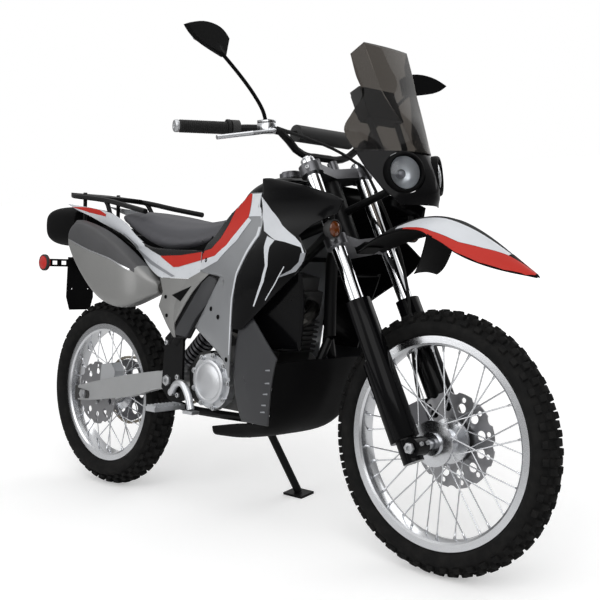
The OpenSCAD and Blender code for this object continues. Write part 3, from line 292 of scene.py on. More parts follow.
class Bench:
    """Hand tools that work on one object at a time."""

    @staticmethod
    def clear() -> None:
        """Goes to object mode with nothing selected."""
        if bpy.context.mode != "OBJECT":
            bpy.ops.object.mode_set(mode="OBJECT")
        bpy.ops.object.select_all(action="DESELECT")

    @staticmethod
    def only(obj: Obj) -> None:
        """Leaves just one object selected and active.

        Args:
            obj: the object.
        """
        Bench.clear()
        obj.select_set(True)
        bpy.context.view_layer.objects.active = obj

    @staticmethod
    def start(shape: Callable[..., object], **sizes: object) -> Obj:
        """Adds a primitive at the origin with nothing else selected.

        Args:
            shape: the operator that adds it.
            sizes: the operator's sizes.

        Returns:
            The new object.
        """
        Bench.clear()
        shape(**sizes)
        return bpy.context.view_layer.objects.active

    @staticmethod
    def box(sizes: Spot) -> Obj:
        """Adds a box to be worked on.

        Args:
            sizes: its length, width and height.

        Returns:
            The box, with its middle at the origin.
        """
        made = Bench.start(bpy.ops.mesh.primitive_cube_add, size=1)
        made.data.transform(Matrix.Diagonal((*sizes, 1)))
        return made

    @staticmethod
    @contextlib.contextmanager
    def editing(obj: Obj, kind: str = "VERT", test: Callable[[Vector, Vector], bool] | None = None,
                ) -> Iterator[None]:
        """Opens edit mode with the wanted elements selected, and closes it again.

        Args:
            obj: the object to edit.
            kind: VERT or FACE.
            test: takes an element's place and normal and says whether it is selected; all when left out.
        """
        Bench.only(obj)
        mesh = obj.data
        bpy.ops.object.mode_set(mode="EDIT")
        bpy.ops.mesh.select_mode(type=kind)
        bpy.ops.mesh.select_all(action="SELECT" if test is None else "DESELECT")
        if test is not None:
            bpy.ops.object.mode_set(mode="OBJECT")
            items = mesh.polygons if kind == "FACE" else mesh.vertices
            for item in items:
                item.select = test(item.center if kind == "FACE" else item.co, item.normal)
            bpy.ops.object.mode_set(mode="EDIT")
        yield
        bpy.ops.object.mode_set(mode="OBJECT")

    @staticmethod
    def modify(obj: Obj, kind: str, **settings: object) -> None:
        """Adds a modifier, sets it and applies it.

        Args:
            obj: the object.
            kind: the modifier's type.
            settings: its properties.
        """
        Bench.only(obj)
        modifier = obj.modifiers.new(kind.lower(), kind)
        for key, value in settings.items():
            setattr(modifier, key, value)
        bpy.ops.object.modifier_apply(modifier=modifier.name)

    @staticmethod
    def place(obj: Obj, matrix: Matrix) -> Obj:
        """Puts an object in place and moves that place into its mesh.

        Args:
            obj: the object.
            matrix: its place.

        Returns:
            The same object, at the origin and unturned.
        """
        Bench.only(obj)
        obj.matrix_world = matrix
        bpy.ops.object.transform_apply(location=True, rotation=True, scale=True)
        return obj

    @staticmethod
    def copy(obj: Obj) -> Obj:
        """Copies an object.

        Args:
            obj: the object.

        Returns:
            The copy, with a mesh of its own.
        """
        twin = bpy.data.objects.new(obj.name, obj.data.copy())
        bpy.context.scene.collection.objects.link(twin)
        return twin

    @staticmethod
    def join(parts: Sequence[Obj]) -> Obj:
        """Joins several objects into the first.

        Args:
            parts: the objects; all but the first are used up.

        Returns:
            The first object with everything in it.
        """
        Bench.only(parts[0])
        for part in parts[1:]:
            part.select_set(True)
        if len(parts) > 1:
            bpy.ops.object.join()
        return parts[0]

    @staticmethod
    def outward(obj: Obj, merge: float = 1e-5) -> None:
        """Merges doubles and turns all faces outwards.

        Args:
            obj: the object.
            merge: points nearer than this become one.
        """
        with Bench.editing(obj):
            bpy.ops.mesh.remove_doubles(threshold=merge)
            bpy.ops.mesh.normals_make_consistent(inside=False)

    @staticmethod
    def softened(node: str, sharp: float, crease: float, square: float, levels: int) -> Obj:
        """Copies a solid, merges it, holds its sharp edges and rounds the rest.

        Args:
            node: the solid's node.
            sharp: edges sharper than this many degrees are held.
            crease: how firmly they are held, up to 1.
            square: how far a four-sided face may be from a square, in degrees.
            levels: times that the surface is divided.

        Returns:
            The rounded copy.
        """
        shell = Bench.copy(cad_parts[node])
        with Bench.editing(shell):
            bpy.ops.mesh.remove_doubles(threshold=WELD)
            bpy.ops.mesh.tris_convert_to_quads(face_threshold=math.radians(40),
                                               shape_threshold=math.radians(square))
            bpy.ops.mesh.select_mode(type="EDGE")
            bpy.ops.mesh.select_all(action="DESELECT")
            bpy.ops.mesh.edges_select_sharp(sharpness=math.radians(sharp))
            bpy.ops.transform.edge_crease(value=crease)
        Bench.modify(shell, "SUBSURF", levels=levels, render_levels=levels)
        return shell

    @staticmethod
    def lathe(section: Sequence[Flat], steps: int = 48) -> Obj:
        """Spins a closed section about the z axis.

        Args:
            section: radius and height of each corner, in order round the section.
            steps: facets round the axis.

        Returns:
            The closed round body, in the section's unit.
        """
        ring = Bench.start(bpy.ops.mesh.primitive_circle_add, vertices=len(section), radius=1)
        for vertex, (radius, height) in zip(ring.data.vertices, section):
            vertex.co = (radius, 0, height)
        with Bench.editing(ring):
            bpy.ops.mesh.spin(steps=steps, angle=2 * math.pi, center=(0, 0, 0), axis=(0, 0, 1))
        Bench.outward(ring, 0.01)
        return ring

    @staticmethod
    def plate(outline: Sequence[Flat], thick: float, edge: float) -> Obj:
        """Draws a flat plate out of its outline and breaks its edges.

        Args:
            outline: corners in order.
            thick: height of the plate above z = 0.
            edge: width of the broken edge.

        Returns:
            The plate.
        """
        sheet = Bench.start(bpy.ops.mesh.primitive_circle_add, vertices=len(outline), radius=1,
                            fill_type="NGON")
        for vertex, (x, y) in zip(sheet.data.vertices, outline):
            vertex.co = (x, y, 0)
        with Bench.editing(sheet):
            bpy.ops.mesh.extrude_region_move(TRANSFORM_OT_translate={"value": (0, 0, thick)})
        Bench.outward(sheet, 1e-4)
        Bench.modify(sheet, "BEVEL", width=edge, segments=2, limit_method="ANGLE", angle_limit=math.radians(30))
        return sheet

    @staticmethod
    def tube(path: Sequence[Vector], radius: float, ring: int = 3) -> Obj:
        """Draws a round tube with closed ends along a path.

        Args:
            path: points close enough together to look smooth.
            radius: of the tube.
            ring: roundness of the tube.

        Returns:
            The tube as a mesh.
        """
        curve = bpy.data.curves.new("tube", "CURVE")
        curve.dimensions = "3D"
        curve.bevel_depth = radius
        curve.bevel_resolution = ring
        curve.use_fill_caps = True
        spline = curve.splines.new("POLY")
        spline.points.add(len(path) - 1)
        for point, place in zip(spline.points, path):
            point.co = (*place, 1)
        made = bpy.data.objects.new("tube", curve)
        bpy.context.scene.collection.objects.link(made)
        Bench.only(made)
        bpy.ops.object.convert(target="MESH")
        made = bpy.context.view_layer.objects.active
        Bench.outward(made)
        return made

    @staticmethod
    def repeat(model: Obj, places: Sequence[Matrix]) -> Obj:
        """Copies a model to each place, with a mesh of its own, and joins the copies.

        Args:
            model: the piece, modelled once at the origin; it is used up.
            places: where each copy goes, as turns and moves.

        Returns:
            All copies as one object.
        """
        copies = []
        for place in places:
            twin = Bench.copy(model)
            twin.data.transform(place)
            copies.append(twin)
        bpy.data.objects.remove(model)
        return Bench.join(copies)

    @staticmethod
    def done(obj: Obj, name: str, body: str, finish: Finish, angle: float = 35.0) -> Obj:
        """Names, shades, paints and seats a finished piece on its body.

        Args:
            obj: the piece, already in place.
            name: its plain name.
            body: the CAD body that it rides on.
            finish: its surface.
            angle: edges sharper than this many degrees stay crisp.

        Returns:
            The same piece.
        """
        obj.name = name
        obj.data.name = name
        Bench.only(obj)
        bpy.ops.object.shade_smooth_by_angle(angle=math.radians(angle))
        obj.data.materials.clear()
        obj.data.materials.append(finish.material())
        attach(obj, body)
        LOG.info("%s: %d faces on %s", name, len(obj.data.polygons), body)
        return obj

    @staticmethod
    def fit(model: Obj, places: Sequence[Matrix], name: str, body: str, finish: Finish,
            angle: float = 35.0) -> Obj:
        """Sets a copy of a model at each place and finishes the copies as one piece.

        Args:
            model: the piece, modelled once in millimetres; it is used up.
            places: where each copy goes on the upright machine.
            name: name of the piece.
            body: the CAD body that it rides on.
            finish: its surface.
            angle: edges sharper than this many degrees stay crisp.

        Returns:
            The piece on the parked machine.
        """
        group = Bench.repeat(model, [STANCE.matrix @ place for place in places])
        return Bench.done(group, name, body, finish, angle)


class Side(Enum):
    """Where a film is laid from: start of the ray and its way, on the upright machine."""

    RIGHT = ((0, -600, 0), (0, 1, 0))
    LEFT = ((0, 600, 0), (0, -1, 0))
    TOP = ((0, 0, 1500), (0, 0, -1))


SKINS: dict[str, Obj] = {}
MISS_REACH: float = 0.42


def seat_at(place: Spot, way: Spot) -> Matrix:
    """Stands a piece on the upright machine, its foot at a place and its z axis along a way."""
    return Matrix.Translation(place) @ Vector(way).to_track_quat("Z", "Y").to_matrix().to_4x4()


def both_sides(place: Spot, way: Spot) -> list[Matrix]:
    """Stands a piece on the left and on the right of the upright machine, as seat_at does on the left."""
    return [seat_at((place[0], side * place[1], place[2]), (way[0], side * way[1], way[2])) for side in BOTH]


def apart(place: Spot) -> list[Matrix]:
    """Moves a piece to a place on the left and to its mirror image on the right, unturned."""
    return [Matrix.Translation((place[0], side * place[1], place[2])) for side in BOTH]


def polar(radius: float, angle: float) -> Flat:
    """Finds the point of a circle at an angle in radians."""
    return radius * math.cos(angle), radius * math.sin(angle)


def circle(radius: float, count: int, start: float = 0.0) -> list[Flat]:
    """Spaces points evenly round a circle; the first is a share of a step on from zero."""
    return [polar(radius, math.tau * (k + start) / count) for k in range(count)]


def axle_frame(axle: Flat) -> Matrix:
    """Stands a wheel that lies flat at the origin on its axle, given as x and z."""
    return Matrix.Translation((axle[0], 0, axle[1])) @ Matrix.Rotation(-math.pi / 2, 4, "X")


def on_skin(node: str, side: Side, x: float, other: float) -> tuple[Vector, Vector]:
    """Finds the point of a smoothed panel straight in from a side, or the nearest one if the ray misses.

    Args:
        node: the panel's node.
        side: where the ray starts.
        x: place along the machine.
        other: height for a side, or place across for the top.

    Returns:
        The point and the way out of the panel, on the parked machine.
    """
    start, way = side.value
    origin = STANCE.spot((x, other, start[2]) if side is Side.TOP else (x, start[1], other))
    direction = STANCE.way(way)
    target = SKINS[node]
    hit, place, normal, _ = target.ray_cast(origin, direction)
    if not hit:
        _, place, normal, _ = target.closest_point_on_mesh(origin + direction * MISS_REACH)
    return place, normal if normal.dot(direction) < 0 else -normal


def curved(points: Sequence[Sequence[float]], steps: int) -> list[Vector]:
    """Runs a smooth curve through points.

    Args:
        points: the points in order.
        steps: pieces between neighbours.

    Returns:
        The points of the curve.
    """
    p = [Vector(point) for point in points]
    last = len(p) - 1
    curve = []
    for i in range(last):
        a, b, c, d = p[max(i - 1, 0)], p[i], p[i + 1], p[min(i + 2, last)]
        for s in range(steps):
            t = s / steps
            curve.append(0.5 * (2 * b + (c - a) * t + (2 * a - 5 * b + 4 * c - d) * t * t
                                + (3 * b - a - 3 * c + d) * t ** 3))
    return curve + [p[last]]


def along(line: Sequence[Flat], share: float) -> Flat:
    """Finds the point at a share of the length of a line of points.

    Args:
        line: the corner points.
        share: from 0 at its start to 1 at its end.

    Returns:
        The point there.
    """
    spans = [math.dist(a, b) for a, b in zip(line, line[1:])]
    left = share * sum(spans)
    for (a, b), span in zip(zip(line, line[1:]), spans):
        if left <= span + 1e-9:
            t = left / span if span else 0
            return (a[0] + (b[0] - a[0]) * t, a[1] + (b[1] - a[1]) * t)
        left -= span
    return tuple(line[-1])


@dataclass
class Film:
    """A thin coloured film laid on a panel between two edge lines."""

    name: str
    node: str
    finish: Finish
    upper: Sequence[Flat]
    lower: Sequence[Flat]
    sides: Sequence[Side] = (Side.RIGHT, Side.LEFT)
    body: str = "chassis"
    columns: int = 48
    rows: int = 7
    lift: float = 0.0008
    thick: float = 0.0004

    def build(self) -> None:
        """Lays the film on each side that it is wanted on."""
        for side in self.sides:
            self._lay(side)

    def _lay(self, side: Side) -> None:
        """Shapes a grid between the lines and drops it onto the panel from one side.

        Args:
            side: the side.
        """
        film = Bench.start(bpy.ops.mesh.primitive_grid_add, x_subdivisions=self.columns,
                           y_subdivisions=self.rows, size=1)
        direction = STANCE.way(side.value[1])
        for vertex in film.data.vertices:
            u = min(max(vertex.co.x + 0.5, 0), 1)
            v = min(max(vertex.co.y + 0.5, 0), 1)
            a, b = along(self.lower, u), along(self.upper, u)
            place, normal = on_skin(self.node, side, a[0] + (b[0] - a[0]) * v, a[1] + (b[1] - a[1]) * v)
            vertex.co = place + normal * self.lift
        with Bench.editing(film):
            bpy.ops.mesh.normals_make_consistent(inside=False)
        film.data.update()
        if film.data.polygons[len(film.data.polygons) // 2].normal.dot(direction) > 0:
            with Bench.editing(film):
                bpy.ops.mesh.flip_normals()
        Bench.modify(film, "SOLIDIFY", thickness=self.thick, offset=1)
        Bench.done(film, f"{self.name}_{side.name.lower()}", self.body, self.finish)


@dataclass
class KnobTyre:
    """A knobbly tyre: carcass spun from its section, with rows of blocks set round it."""

    name: str
    body: str
    axle: Flat
    radius: float
    half: float
    rim_radius: float
    rim_half: float
    pitches: int
    blocks: Sequence[tuple[float, float, float, float]]
    crown: float = 48.0
    tread: float = 10.0
    bead_in: float = 3.6
    bed_in: float = 15.9
    root: float = 6.0
    sink: float = 0.6
    taper: float = 0.12
    rounding: float = 1.4

    def build(self) -> None:
        """Makes the carcass and the blocks, joins them and stands them for the plain tyre."""
        tyre = Bench.join([self._carcass(), *(self._row(*block) for block in self.blocks)])
        Bench.place(tyre, STANCE.matrix @ axle_frame(self.axle))
        Bench.done(tyre, f"{self.name}_tread", self.body, Paint.TYRE, 40)
        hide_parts(self.name)

    def _carcass(self) -> Obj:
        """Spins the section without its blocks.

        Returns:
            The carcass of a wheel lying flat at the origin.
        """
        r, rim, bead = self.radius - self.tread, self.rim_radius, self.rim_half - self.bead_in
        tall, crown = r - rim, self.crown - self.tread
        half = [(rim - self.bed_in, bead), (rim + 1, bead), (rim + 3, bead + 3.5),
                (rim + 6, bead + (self.half - bead) * 0.5), (rim + 0.2 * tall, self.half - 4),
                (rim + 0.36 * tall, self.half - 1), (rim + 0.5 * tall, self.half - 1.5),
                (rim + 0.62 * tall, self.half - 4.5)]
        half += [(r - crown * (1 - math.cos(math.radians(a))), crown * math.sin(math.radians(a)))
                 for a in (60, 48, 36, 24, 12)]
        return Bench.lathe([*half, (r, 0), *((x, -y) for x, y in reversed(half))], 128)

    def _row(self, tilt: float, wide: float, long: float, phase: float) -> Obj:
        """Makes one row of blocks round the tyre.

        Args:
            tilt: the row's angle round the crown, in degrees.
            wide: width of a block across the tread.
            long: its length along the tread.
            phase: shift along the tread as a share of a pitch.

        Returns:
            The row, still on a wheel lying flat at the origin.
        """
        block = Bench.start(bpy.ops.mesh.primitive_cube_add, size=1)
        for vertex in block.data.vertices:
            x, y, z = vertex.co
            taper = 1 - math.copysign(self.taper, x)
            vertex.co = ((x - 0.5) * (self.tread + self.root), y * long * taper, z * wide * taper)
        with Bench.editing(block, "FACE", lambda centre, normal: normal.x > 0.9):
            bpy.ops.mesh.bevel(offset=self.rounding, segments=2, affect="EDGES")
        with Bench.editing(block, "FACE", lambda centre, normal: normal.x < -0.9):
            bpy.ops.mesh.delete(type="FACE")
        a = math.radians(tilt)
        out, across = polar(self.crown - self.sink, a)
        seat = Matrix.Translation((self.radius - self.crown + out, 0, across))
        Bench.place(block, Matrix.Rotation(2 * math.pi * phase / self.pitches, 4, "Z") @ seat
                    @ Matrix.Rotation(-a, 4, "Y"))
        turner = bpy.data.objects.new("turner", None)
        bpy.context.scene.collection.objects.link(turner)
        turner.rotation_euler = (0, 0, 2 * math.pi / self.pitches)
        bpy.context.view_layer.update()
        Bench.modify(block, "ARRAY", count=self.pitches, use_relative_offset=False, use_object_offset=True,
                     offset_object=turner)
        bpy.data.objects.remove(turner)
        return block


@dataclass
class Moulding:
    """A moulded shell: the solid's own shape, smoothed between its crisp edges."""

    node: str
    finish: Finish
    body: str = "chassis"
    crease: float = 1.0
    sharp: float = 48.0
    levels: int = 2
    square: float = 70.0
    crisp: float = 42.0
    second: Finish | None = None
    area: Callable[[Vector], bool] | None = None

    def build(self) -> None:
        """Rounds the solid's copy, which then stands for the node."""
        shell = Bench.softened(self.node, self.sharp, self.crease, self.square, self.levels)
        Bench.done(shell, f"{self.node}_shell", self.body, self.finish, self.crisp)
        if self.second is not None and self.area is not None:
            shell.data.materials.append(self.second.material())
            upright = STANCE.matrix.inverted()
            for face in shell.data.polygons:
                face.material_index = int(self.area(upright @ face.center))
        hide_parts(self.node)
        SKINS[self.node] = shell


@dataclass
class PaddedSeat:
    """The stuffed seat: swollen by cloth under pressure, with a piping along its foot."""

    voxel: float = 0.0075
    shrink: float = 0.003
    pressure: float = 4.0
    cap: float = 0.008
    steps: int = 20
    stiffness: float = 20.0
    held_from: float = 0.3
    welt: float = 0.0034
    piping: Sequence[Flat] = (
        (214, 918), (262, 894), (330, 866), (400, 846), (470, 839), (560, 840), (628, 848))

    def build(self) -> None:
        """Makes the pad and its piping."""
        pad = Bench.softened("seat", sharp=55, crease=0.6, square=40, levels=2)
        Bench.modify(pad, "DISPLACE", strength=-self.shrink, mid_level=0)
        Bench.modify(pad, "REMESH", mode="VOXEL", voxel_size=self.voxel)
        self._swell(pad)
        Bench.modify(pad, "SMOOTH", factor=0.5, iterations=3)
        Bench.modify(pad, "SUBSURF", levels=1, render_levels=1)
        Bench.done(pad, "seat_pad", "chassis", Paint.VINYL, 80)
        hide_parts("seat")
        SKINS["seat"] = pad
        for side in (Side.RIGHT, Side.LEFT):
            line = [on_skin("seat", side, x, z)[0] for x, z in self.piping]
            welt = Bench.tube(curved(line, 8), self.welt)
            Bench.done(welt, f"seat_piping_{side.name.lower()}", "chassis", Paint.FILM_BLACK, 60)

    def _swell(self, pad: Obj) -> None:
        """Blows the pad up as cloth with its underside held, and caps how far a point moves.

        Args:
            pad: the pad.
        """
        scene = bpy.context.scene
        held = pad.vertex_groups.new(name="held")
        down = STANCE.way((0, 0, -1))
        held.add([v.index for v in pad.data.vertices if v.normal.dot(down) > self.held_from], 1, "REPLACE")
        cloth = pad.modifiers.new("stuffing", "CLOTH")
        cloth.settings.use_pressure = True
        cloth.settings.uniform_pressure_force = self.pressure
        cloth.settings.effector_weights.gravity = 0
        cloth.settings.vertex_group_mass = "held"
        cloth.settings.tension_stiffness = cloth.settings.compression_stiffness = self.stiffness
        cloth.settings.quality = 4
        cloth.point_cache.frame_start, cloth.point_cache.frame_end = 1, self.steps
        for step in range(1, self.steps + 1):
            scene.frame_set(step)
        swollen = pad.evaluated_get(bpy.context.evaluated_depsgraph_get()).data
        for vertex, moved in zip(pad.data.vertices, [v.co.copy() for v in swollen.vertices]):
            shift = moved - vertex.co
            vertex.co += shift * min(1, self.cap / max(shift.length, 1e-9))
        pad.modifiers.remove(cloth)
        scene.frame_set(1)
        pad.data.update()


@dataclass(frozen=True)
class Bolt:
    """A round or six-sided bolt head with a socket, modelled along z from its foot."""

    radius: float
    height: float
    sides: int = 20
    socket: float = 0.5
    finish: Finish = Paint.STEEL
    crisp: float = 32.0
    sunk: float = 0.0008

    def model(self) -> Obj:
        """Turns a cylinder into a head: broken top edge, then a socket sunk in the top.

        Returns:
            The head in millimetres.
        """
        head = Bench.start(bpy.ops.mesh.primitive_cylinder_add, vertices=self.sides, radius=self.radius,
                           depth=self.height, location=(0, 0, self.height / 2))
        bpy.ops.object.transform_apply(location=True)
        with Bench.editing(head, "FACE", lambda centre, normal: normal.z > 0.9):
            bpy.ops.mesh.bevel(offset=0.14 * self.radius, segments=2, affect="EDGES")
        with Bench.editing(head, "FACE", lambda centre, normal: normal.z > 0.99):
            bpy.ops.mesh.inset(thickness=self.radius * (0.86 - self.socket), depth=0)
            bpy.ops.mesh.inset(thickness=0.05 * self.radius, depth=-0.55 * self.height)
        return head

    def fasten(self, name: str, body: str, places: Sequence[Matrix]) -> None:
        """Sets a copy at each place on the upright machine and joins them.

        Args:
            name: name of the group.
            body: the body that carries it.
            places: where each head sits, in millimetres on the upright machine.
        """
        Bench.fit(self.model(), places, name, body, self.finish, self.crisp)

    def pin(self, name: str, body: str, node: str, spots: Sequence[Flat]) -> None:
        """Sets heads on both sides of a smoothed panel.

        Args:
            name: name of the group.
            body: the body that carries it.
            node: the panel.
            spots: place along the machine and height of each head.
        """
        places = []
        for side in (Side.RIGHT, Side.LEFT):
            for x, z in spots:
                place, normal = on_skin(node, side, x, z)
                facing = normal.to_track_quat("Z", "Y").to_matrix().to_4x4()
                places.append(Matrix.Translation(place - normal * self.sunk) @ facing @ Matrix.Scale(MM, 4))
        Bench.done(Bench.repeat(self.model(), places), name, body, self.finish, self.crisp)


@dataclass
class Lamps:
    """Round headlamps, indicators, tail lamp and reflectors."""

    head: Spot = (1340, 60, 1046)
    head_turn: float = 28.0
    head_tip: float = 84.0
    signal: Spot = (1196, 169.2, 898)
    reflector: Spot = (-224, 146.3, 786)
    tail: Spot = (-390.4, 0, 919)
    rib: Spot = (3, 56, 4)
    ribs: int = 6
    rib_pitch: float = 5.6

    def build(self) -> None:
        """Makes every lamp on both sides."""
        self._heads()
        self._signals()
        self._reflectors()

    def _turned(self, name: str, section: Sequence[Flat], finish: Finish, places: Sequence[Matrix],
                steps: int = 48) -> Obj:
        """Spins one round part and sets a copy at each place."""
        return Bench.fit(Bench.lathe(section, steps), places, name, "chassis", finish)

    def _heads(self) -> None:
        """Thick bezels, bright bowls, dark bulbs and clear domes of the headlamps."""
        tip = Matrix.Rotation(math.radians(self.head_tip), 4, "Y")
        places = [place @ Matrix.Rotation(math.radians(side * self.head_turn), 4, "Z") @ tip
                  for side, place in zip(BOTH, apart(self.head))]
        bezel = self._turned("headlamp_bezels", (
            (55, -34), (55, 22), (54, 27), (51, 30.5), (47.5, 31.5), (45, 30), (43.5, 26),
            (43, 14), (43, -20), (0, -22), (0, -34)), Paint.GUARD, places, 64)
        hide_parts("headlamps")
        self._turned("headlamp_bowls", (
            (42.8, 18), (38, 7), (30, -5), (20, -12), (0, -14), (0, -16), (20, -14.5),
            (31, -8), (40, 4), (42.9, 12)), Paint.STEEL, places, 64)
        self._turned("headlamp_eyes", ((0, 6), (6, 5.4), (10, 3), (12, -1), (12.4, -6),
                                       (12.4, -13.4), (0, -13.4)), Paint.DARK_ALLOY, places)
        self._turned("headlamp_domes", (
            (0, 31.5), (14, 30.8), (27, 28.6), (37, 25.2), (43.2, 21.5), (43.2, 19.5), (37, 23.2),
            (27, 26.6), (14, 28.8), (0, 29.5)), Paint.CLEAR, places, 64)

    def _signals(self) -> None:
        """Dark amber domes in black cups on short stalks."""
        places = both_sides(self.signal, AHEAD)
        cups = self._turned("indicator_cups", (
            (0, -16), (12, -15.5), (20, -12), (24.5, -4), (25.4, 6), (25.4, 13), (24, 15),
            (22.2, 14), (22, 10), (0, 10)), Paint.PLASTIC, places)
        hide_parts("front_indicators")
        self._turned("indicator_domes", ((0, 20), (8, 19.4), (15, 17.4), (20, 14), (21.8, 11),
                                         (21.8, 9.5), (0, 9.5)), Paint.AMBER_LENS, places)
        self._turned("indicator_posts", ((0, 16), (9.5, 18), (8.4, 26), (7, 32), (8, 40),
                                         (8, 50), (0, 50)), Paint.RUBBER, apart(self.signal), 24)

    def _reflectors(self) -> None:
        """Black rims round the red reflectors, and a ribbed lens for the tail lamp."""
        places = both_sides(self.reflector, LEFT)
        self._turned("reflector_rims", ((24.3, 2), (29.6, 2), (29.6, 9.6), (28, 12), (25.6, 12.4),
                                        (24.3, 11)), Paint.PLASTIC, places)
        self._turned("reflector_domes", ((0, 15.6), (9, 15.2), (17, 14.2), (24.2, 12.4), (24.2, 10),
                                         (0, 10)), Paint.RED_LENS, places)
        rib = Bench.box(self.rib)
        Bench.modify(rib, "BEVEL", width=1, segments=2, limit_method="ANGLE")
        x, y, z = self.tail
        places = [Matrix.Translation((x, y, z + self.rib_pitch * k)) for k in range(self.ribs)]
        Bench.fit(rib, places, "tail_lamp_ribs", "chassis", Paint.RED_LENS, 40)


@dataclass
class WheelTrim:
    """Nipples and bolts of one wheel, in the wheel's own frame with z along the axle."""

    name: str
    body: str
    axle: Flat
    flange: Flat
    bed: float
    disc_face: float
    disc_bolts: float
    other_face: float | None = None
    other_bolts: float = 0.0
    spokes: int = 36
    lace: float = 40.0
    bed_half: float = 7.0
    stagger: Flat = (2, 2.5)
    bolts: int = 6
    nipple: Sequence[Flat] = ((0, -3), (3.9, -3), (3.9, 2), (3.2, 5), (2.9, 13), (2.2, 14), (0, 14))

    def build(self) -> None:
        """Makes the nipples, the disc bolts and the sprocket bolts."""
        axle = axle_frame(self.axle)
        places = [axle @ seat_at(end, way) for end, way in self._laces()]
        Bench.fit(Bench.lathe(self.nipple, 8), places, f"{self.name}_nipples", self.body, Paint.BRIGHT, 40)
        faces = [(self.disc_face, self.disc_bolts)]
        if self.other_face is not None:
            faces.append((self.other_face, self.other_bolts))
        for face, ring in faces:
            out = (0, 0, math.copysign(1, face))
            spots = [axle @ seat_at((*spot, face), out) for spot in circle(ring, self.bolts, 0.5)]
            side = "left" if face > 0 else "right"
            Bolt(7, 5, 24, 0.46).fasten(f"{self.name}_bolts_{side}", self.body, spots)

    def _laces(self) -> Iterator[tuple[Spot, Spot]]:
        """Yields the rim end of each spoke and its way to the hub."""
        for side in BOTH:
            for hole in range(self.spokes // 2):
                lead = 1 if hole % 2 == 0 else -1
                a = math.radians(hole * 720 / self.spokes + (0 if side == 1 else 360 / self.spokes))
                b = a + math.radians(lead * self.lace)
                hub = Vector((*polar(self.flange[0], a), side * (self.flange[1] + lead * self.stagger[0])))
                rim = Vector((*polar(self.bed, b), side * (self.bed_half + lead * self.stagger[1])))
                yield tuple(rim), tuple(hub - rim)


@dataclass
class DriveChain:
    """Chain of plates and rollers round both sprockets."""

    front: Flat = (580, 432)
    rear: Flat = REAR_AXLE
    small: float = 35.0
    big: float = 119.0
    across: float = 70.0
    links: int = 112
    slim: float = 0.12

    def build(self) -> None:
        """Models one link and sets copies of it along the path."""
        places = []
        for k in range(self.links):
            here, there = self._point(k / self.links), self._point(((k + 1) % self.links) / self.links)
            middle = (here + there) / 2
            turn = math.atan2(there.y - here.y, there.x - here.x)
            places.append(Matrix.Translation((middle.x, self.across, middle.y)) @ Matrix.Rotation(-turn, 4, "Y")
                          @ Matrix.Scale(1 - self.slim * (k % 2), 4, (0, 1, 0)))
        chain = Bench.fit(self._link(), places, "chain_links", "chassis", Paint.CHAIN)
        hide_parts("chain")

    def _point(self, share: float) -> Vector:
        """Finds a point of the chain.

        Args:
            share: share of the chain's length, from the low front.

        Returns:
            The point as x and z.
        """
        front, rear = Vector(self.front), Vector(self.rear)
        span = front - rear
        turn = math.atan2(span.y, span.x)
        tilt = math.asin((self.big - self.small) / span.length)
        run = span.length * math.cos(tilt)
        nose, heel = self.small * (math.pi - 2 * tilt), self.big * (math.pi + 2 * tilt)
        s = share * (nose + heel + 2 * run)
        top, low = turn + math.pi / 2 - tilt, turn - math.pi / 2 + tilt
        square = math.pi / 2
        if s < nose:
            return front + Vector(polar(self.small, low + s / self.small))
        if s < nose + run:
            return front + Vector(polar(self.small, top)) + Vector(polar(s - nose, top + square))
        if s < nose + run + heel:
            return rear + Vector(polar(self.big, top + (s - nose - run) / self.big))
        return rear + Vector(polar(self.big, low)) + Vector(polar(s - nose - run - heel, low + square))

    @staticmethod
    def _link() -> Obj:
        """Models one link.

        Returns:
            Two waisted plates and a roller.
        """
        half = ((-10, 0), (-8.6, 3.4), (-5.5, 4.8), (-2, 3.6), (2, 3.6), (5.5, 4.8), (8.6, 3.4))
        outline = [*half, *((-x, -y) for x, y in half)]
        plates = [Bench.plate(outline, 2, 0.4) for _ in range(2)]
        roller = Bench.lathe(((0, -5), (3.8, -5), (3.8, 5), (0, 5)), 8)
        parts = [*plates, roller]
        for part, place in zip(parts, ((0, -4.2, 0), (0, 6.2, 0), (5.5, 0, 0))):
            part.data.transform(Matrix.Translation(place) @ Matrix.Rotation(math.pi / 2, 4, "X"))
        return Bench.join(parts)


